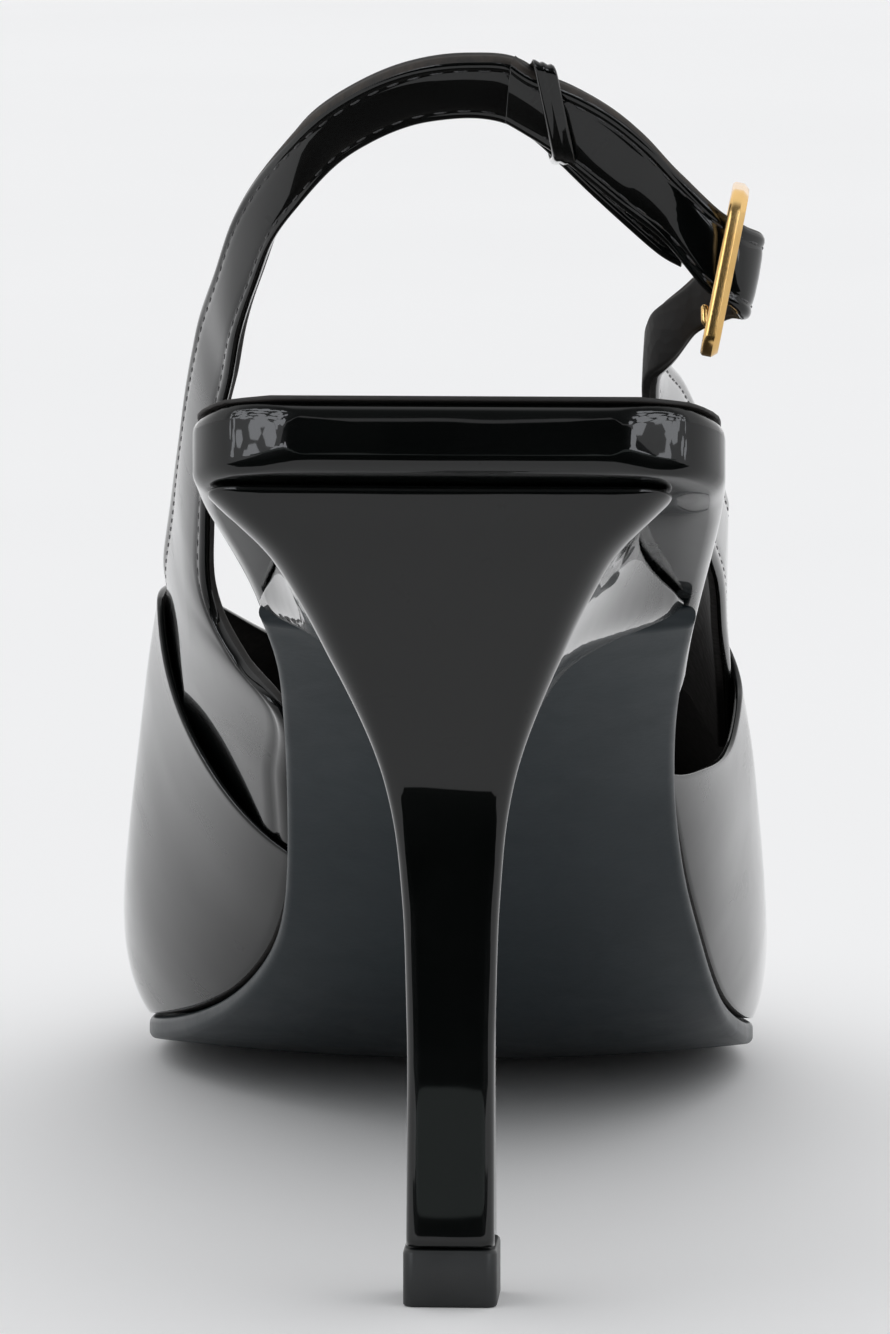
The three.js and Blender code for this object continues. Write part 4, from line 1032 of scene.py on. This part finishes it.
def new_material(name):
    material = bpy.data.materials.new(name)
    material.use_nodes = True
    tree = material.node_tree
    shader = tree.nodes["Principled BSDF"]
    coords = tree.nodes.new("ShaderNodeTexCoord").outputs["Object"]
    return material, tree, shader, coords


def patent_material():
    """Black patent leather: a mirror coat over black leather, a little wavy, with faint dust."""
    material, tree, shader, coords = new_material("black_patent")
    cloud = noise(tree, coords, 38, 3, 0.5)
    colour = ramp(tree, cloud, [(0.3, (0.001, 0.0014, 0.0013)), (0.7, (0.0022, 0.0028, 0.0026))])
    tree.links.new(colour, shader.inputs["Base Color"])
    smear = noise(tree, coords, 90, 5, 0.6, 0.4)
    tree.links.new(between(tree, smear, 0.16, 0.3, 0.35, 0.7), shader.inputs["Roughness"])
    shader.inputs["Specular IOR Level"].default_value = 0.06
    shader.inputs["Coat Weight"].default_value = 1.0
    shader.inputs["Coat Roughness"].default_value = 0.03
    shader.inputs["Coat IOR"].default_value = 1.45
    wave = noise(tree, coords, 55, 2, 0.4)
    pebble = noise(tree, coords, 900, 2, 0.5)
    normal = bump(tree, wave, 0.22, 0.0008)
    normal = bump(tree, pebble, 0.05, 0.0001, normal)
    tree.links.new(normal, shader.inputs["Normal"])
    tree.links.new(bump(tree, wave, 0.14, 0.0008), shader.inputs["Coat Normal"])
    return material


def lining_material():
    """Black matte lining leather with a fine grain."""
    material, tree, shader, coords = new_material("black_lining")
    cloud = noise(tree, coords, 60, 4, 0.6)
    colour = ramp(tree, cloud, [(0.3, (0.010, 0.0095, 0.009)), (0.72, (0.024, 0.021, 0.019))])
    tree.links.new(colour, shader.inputs["Base Color"])
    tree.links.new(between(tree, cloud, 0.55, 0.78), shader.inputs["Roughness"])
    shader.inputs["Specular IOR Level"].default_value = 0.4
    grain = tree.nodes.new("ShaderNodeTexVoronoi")
    grain.inputs["Scale"].default_value = 900
    tree.links.new(coords, grain.inputs["Vector"])
    tree.links.new(bump(tree, grain.outputs["Distance"], 0.35, 0.0002), shader.inputs["Normal"])
    return material


def cut_edge_material():
    """Raw cut edge of the leather, brownish black and dull."""
    material, tree, shader, coords = new_material("cut_edge")
    cloud = noise(tree, coords, 700, 4, 0.65)
    colour = ramp(tree, cloud, [(0.3, (0.012, 0.010, 0.008)), (0.7, (0.045, 0.034, 0.026))])
    tree.links.new(colour, shader.inputs["Base Color"])
    tree.links.new(between(tree, cloud, 0.6, 0.85), shader.inputs["Roughness"])
    tree.links.new(bump(tree, cloud, 0.5, 0.0003), shader.inputs["Normal"])
    return material


def sock_material():
    """The sock's leather, black with a brownish cut edge."""
    material, tree, shader, coords = new_material("sock_leather")
    cloud = noise(tree, coords, 45, 4, 0.6)
    colour = ramp(tree, cloud, [(0.3, (0.011, 0.010, 0.0095)), (0.72, (0.028, 0.023, 0.020))])
    tree.links.new(colour, shader.inputs["Base Color"])
    tree.links.new(between(tree, cloud, 0.42, 0.7), shader.inputs["Roughness"])
    shader.inputs["Specular IOR Level"].default_value = 0.45
    grain = tree.nodes.new("ShaderNodeTexVoronoi")
    grain.inputs["Scale"].default_value = 750
    tree.links.new(coords, grain.inputs["Vector"])
    tree.links.new(bump(tree, grain.outputs["Distance"], 0.4, 0.0002), shader.inputs["Normal"])
    return material


def sole_material():
    """Bluish dark-grey sole with a satin face, faint scuffs and fine grain."""
    material, tree, shader, coords = new_material("sole_satin")
    cloud = noise(tree, coords, 26, 5, 0.6, 0.3)
    colour = ramp(tree, cloud, [(0.3, (0.006, 0.012, 0.016)), (0.72, (0.010, 0.018, 0.023))])
    tree.links.new(colour, shader.inputs["Base Color"])
    rub = noise(tree, coords, 120, 6, 0.65, 0.6)
    tree.links.new(between(tree, rub, 0.34, 0.5, 0.3, 0.75), shader.inputs["Roughness"])
    shader.inputs["Specular IOR Level"].default_value = 0.3
    shader.inputs["Coat Weight"].default_value = 0.15
    shader.inputs["Coat Roughness"].default_value = 0.25
    grain = noise(tree, coords, 1400, 3, 0.6)
    tree.links.new(bump(tree, grain, 0.12, 0.00012), shader.inputs["Normal"])
    return material


def rubber_material():
    """The top-lift's hard black rubber."""
    material, tree, shader, coords = new_material("lift_rubber")
    cloud = noise(tree, coords, 200, 4, 0.6)
    colour = ramp(tree, cloud, [(0.3, (0.006, 0.0075, 0.008)), (0.7, (0.011, 0.013, 0.0135))])
    tree.links.new(colour, shader.inputs["Base Color"])
    tree.links.new(between(tree, cloud, 0.3, 0.5), shader.inputs["Roughness"])
    tree.links.new(bump(tree, cloud, 0.12, 0.0002), shader.inputs["Normal"])
    return material


def gold_material():
    """Pale polished gold plate with faint hairlines."""
    material, tree, shader, coords = new_material("pale_gold")
    cloud = noise(tree, coords, 300, 3, 0.5)
    colour = ramp(tree, cloud, [(0.3, (0.70, 0.44, 0.16)), (0.7, (0.80, 0.53, 0.22))])
    tree.links.new(colour, shader.inputs["Base Color"])
    tree.links.new(between(tree, cloud, 0.16, 0.28), shader.inputs["Roughness"])
    shader.inputs["Metallic"].default_value = 1.0
    hair = noise(tree, coords, 2600, 2, 0.5)
    tree.links.new(bump(tree, hair, 0.06, 0.0001), shader.inputs["Normal"])
    return material


def thread_material():
    """Black thread with a soft twist."""
    material, tree, shader, coords = new_material("black_thread")
    twist = tree.nodes.new("ShaderNodeTexWave")
    twist.inputs["Scale"].default_value = 900
    twist.inputs["Distortion"].default_value = 1.5
    tree.links.new(coords, twist.inputs["Vector"])
    colour = ramp(tree, twist.outputs["Fac"], [(0.2, (0.006, 0.006, 0.007)), (0.8, (0.02, 0.02, 0.022))])
    tree.links.new(colour, shader.inputs["Base Color"])
    shader.inputs["Roughness"].default_value = 0.5
    shader.inputs["Coat Weight"].default_value = 0.5
    shader.inputs["Coat Roughness"].default_value = 0.2
    tree.links.new(bump(tree, twist.outputs["Fac"], 0.4, 0.0001), shader.inputs["Normal"])
    return material


def floor_material():
    material, tree, shader, coords = new_material("pale_floor")
    cloud = noise(tree, coords, 3, 3, 0.5)
    colour = ramp(tree, cloud, [(0.3, (0.925, 0.925, 0.93)), (0.7, (0.94, 0.94, 0.945))])
    tree.links.new(colour, shader.inputs["Base Color"])
    shader.inputs["Roughness"].default_value = 0.75
    shader.inputs["Specular IOR Level"].default_value = 0.2
    tree.links.new(bump(tree, cloud, 0.02, 0.002), shader.inputs["Normal"])
    return material


def stage_panel(name, corners, material, faces=None):
    """Flat panel of the studio, given by its corners in metres."""
    mesh = bpy.data.meshes.new(name)
    mesh.from_pydata(corners, [], faces or [tuple(range(len(corners)))])
    mesh.materials.append(material)
    made = bpy.data.objects.new(name, mesh)
    bpy.context.scene.collection.objects.link(made)
    return made


def glow_card(name, corners, colour, faces=None):
    """Part of the room that shows only in reflections; also used for a sheet of painted shade on the floor."""
    material = bpy.data.materials.new(name)
    material.use_nodes = True
    tree = material.node_tree
    tree.nodes.clear()
    out = tree.nodes.new("ShaderNodeOutputMaterial")
    glow = tree.nodes.new("ShaderNodeEmission")
    glow.inputs["Color"].default_value = (*colour, 1)
    tree.links.new(glow.outputs["Emission"], out.inputs["Surface"])
    card = stage_panel(name, corners, material, faces)
    card.visible_camera = False
    card.visible_diffuse = False
    card.visible_shadow = False
    card.visible_transmission = False
    return card


def build_world():
    """Pale surroundings, greyer behind the camera."""
    bpy.context.scene.view_settings.view_transform = "Standard"
    world = bpy.data.worlds.new("studio")
    bpy.context.scene.world = world
    world.use_nodes = True
    tree = world.node_tree
    background = tree.nodes["Background"]
    direction = tree.nodes.new("ShaderNodeTexCoord").outputs["Generated"]
    parts = tree.nodes.new("ShaderNodeSeparateXYZ")
    tree.links.new(direction, parts.inputs["Vector"])
    colour = ramp(
        tree,
        between(tree, parts.outputs["Y"], 0, 1, -1, 1),
        [
            (0.0, (0.08, 0.085, 0.085)),
            (0.12, (0.14, 0.145, 0.145)),
            (0.3, (0.93, 0.94, 0.95)),
            (0.6, (0.985, 0.985, 0.99)),
        ],
    )
    tree.links.new(colour, background.inputs["Color"])
    background.inputs["Strength"].default_value = 1.1


def build_window(name, side, rng):
    """Bright window behind the camera, broken up by what stands in front of it."""
    corners = []
    faces = []
    for x in np.linspace(0.17, 0.47, 12):
        for z in np.linspace(0.012, 0.27, 10):
            if rng.uniform() < 0.35:
                continue
            wide, high = rng.uniform(0.014, 0.03), rng.uniform(0.012, 0.026)
            middle = (x + rng.uniform(-0.02, 0.02), -0.46 + 0.25 * (x - 0.17), z + rng.uniform(-0.014, 0.014))
            faces.append([len(corners) + k for k in range(6)])
            for k in range(6):
                turn = math.radians(60 * k + rng.uniform(-15, 15))
                across = side * (middle[0] + wide * math.cos(turn))
                corners.append((across, middle[1], max(middle[2] + high * math.sin(turn), 0.001)))
    glow_card(name, corners, (4.0, 4.1, 4.3), faces)


def build_studio():
    """Pale floor with a near-black sheet on it from just behind the shoe, seen only in reflections: it stands
    for the dark room behind the camera and is painted shade on the floor. A window on each side.
    """
    stage_panel("floor", [(-9, -9, 0), (9, -9, 0), (9, 9, 0), (-9, 9, 0)], floor_material())
    front = []
    rng = np.random.default_rng(7)
    for x in np.linspace(-0.2, 0.22, 43):
        front.append((float(x), -0.122 + float(rng.uniform(-0.004, 0.004)), 0.001))
    # Near-black sheet on the floor, seen only in reflections: the dark room behind the camera, and painted shade
    # over the floor between the shoe and the camera.
    glow_card("dark_room_and_painted_floor_shade", [(0.9, -3.4, 0.001), *front[::-1], (-0.9, -3.4, 0.001)], (0.004, 0.006, 0.006))
    glow_card(
        "low_wall",
        [(-0.3, -0.4, 0.001), (0.3, -0.4, 0.001), (0.3, -0.4, 0.016), (-0.3, -0.4, 0.016)],
        (0.4, 0.45, 0.44),
    )
    for name, side in (("window_left", -1), ("window_right", 1)):
        build_window(name, side, rng)


def build_camera():
    """Camera behind the shoe, a little above it and to its outer side, as in the photograph."""
    place = Vector((0.04935, -0.9417, 0.187))
    forward = Vector((-0.05192, 0.99075, -0.12533))
    right = Vector((0.99863, 0.05234, 0.0))
    focal_pixels = 9000
    off_centre = 7
    frame_high = 1334
    aim = forward - right * (off_centre / focal_pixels)
    data = bpy.data.cameras.new("camera")
    data.sensor_fit = "VERTICAL"
    data.sensor_height = 36
    data.lens = 36 * focal_pixels / frame_high
    data.clip_start = 0.05
    camera = bpy.data.objects.new("camera", data)
    camera.location = place
    camera.rotation_euler = aim.to_track_quat("-Z", "Y").to_euler()
    bpy.context.scene.collection.objects.link(camera)
    bpy.context.scene.camera = camera


patent = patent_material()
lining = lining_material()
thread = thread_material()
strap_looks = [patent, lining, cut_edge_material()]
gold = gold_material()
sling_rows = strap_table(SLING_ROWS)
buckle_rows = np.concatenate([strap_table(BUCKLE_ROWS), tip_rows(sling_rows)])

build_outsole([sole_material()])
build_board([patent])
build_sock([sock_material()])
build_heel([patent])
build_lift([rubber_material()])
build_upper([patent, lining])
build_strap("sling_strap_lined", sling_rows, "medial", 330, strap_looks, "sling_strap")
build_strap("buckle_strap_lined", buckle_rows, "lateral", 330, strap_looks, "buckle_strap")
sling_end = len(sling_rows) - 1
buckle_end = len(buckle_rows) - 1
build_stitches(
    "sling_stitches",
    [
        (sling_rows, "medial", 0, GROOVE, 1.2, sling_end - 0.2),
        (sling_rows, "medial", 1, GROOVE, 3.2, sling_end - 0.2),
    ],
    [thread],
)
build_stitches(
    "buckle_strap_stitches",
    [
        (buckle_rows, "lateral", 0, GROOVE, 1.2, buckle_end - 0.3),
        (buckle_rows, "lateral", 1, GROOVE, 1.2, buckle_end - 0.3),
    ],
    [thread],
)
build_keeper(sling_rows, [patent])
build_buckle([gold])
build_world()
build_studio()
build_camera()
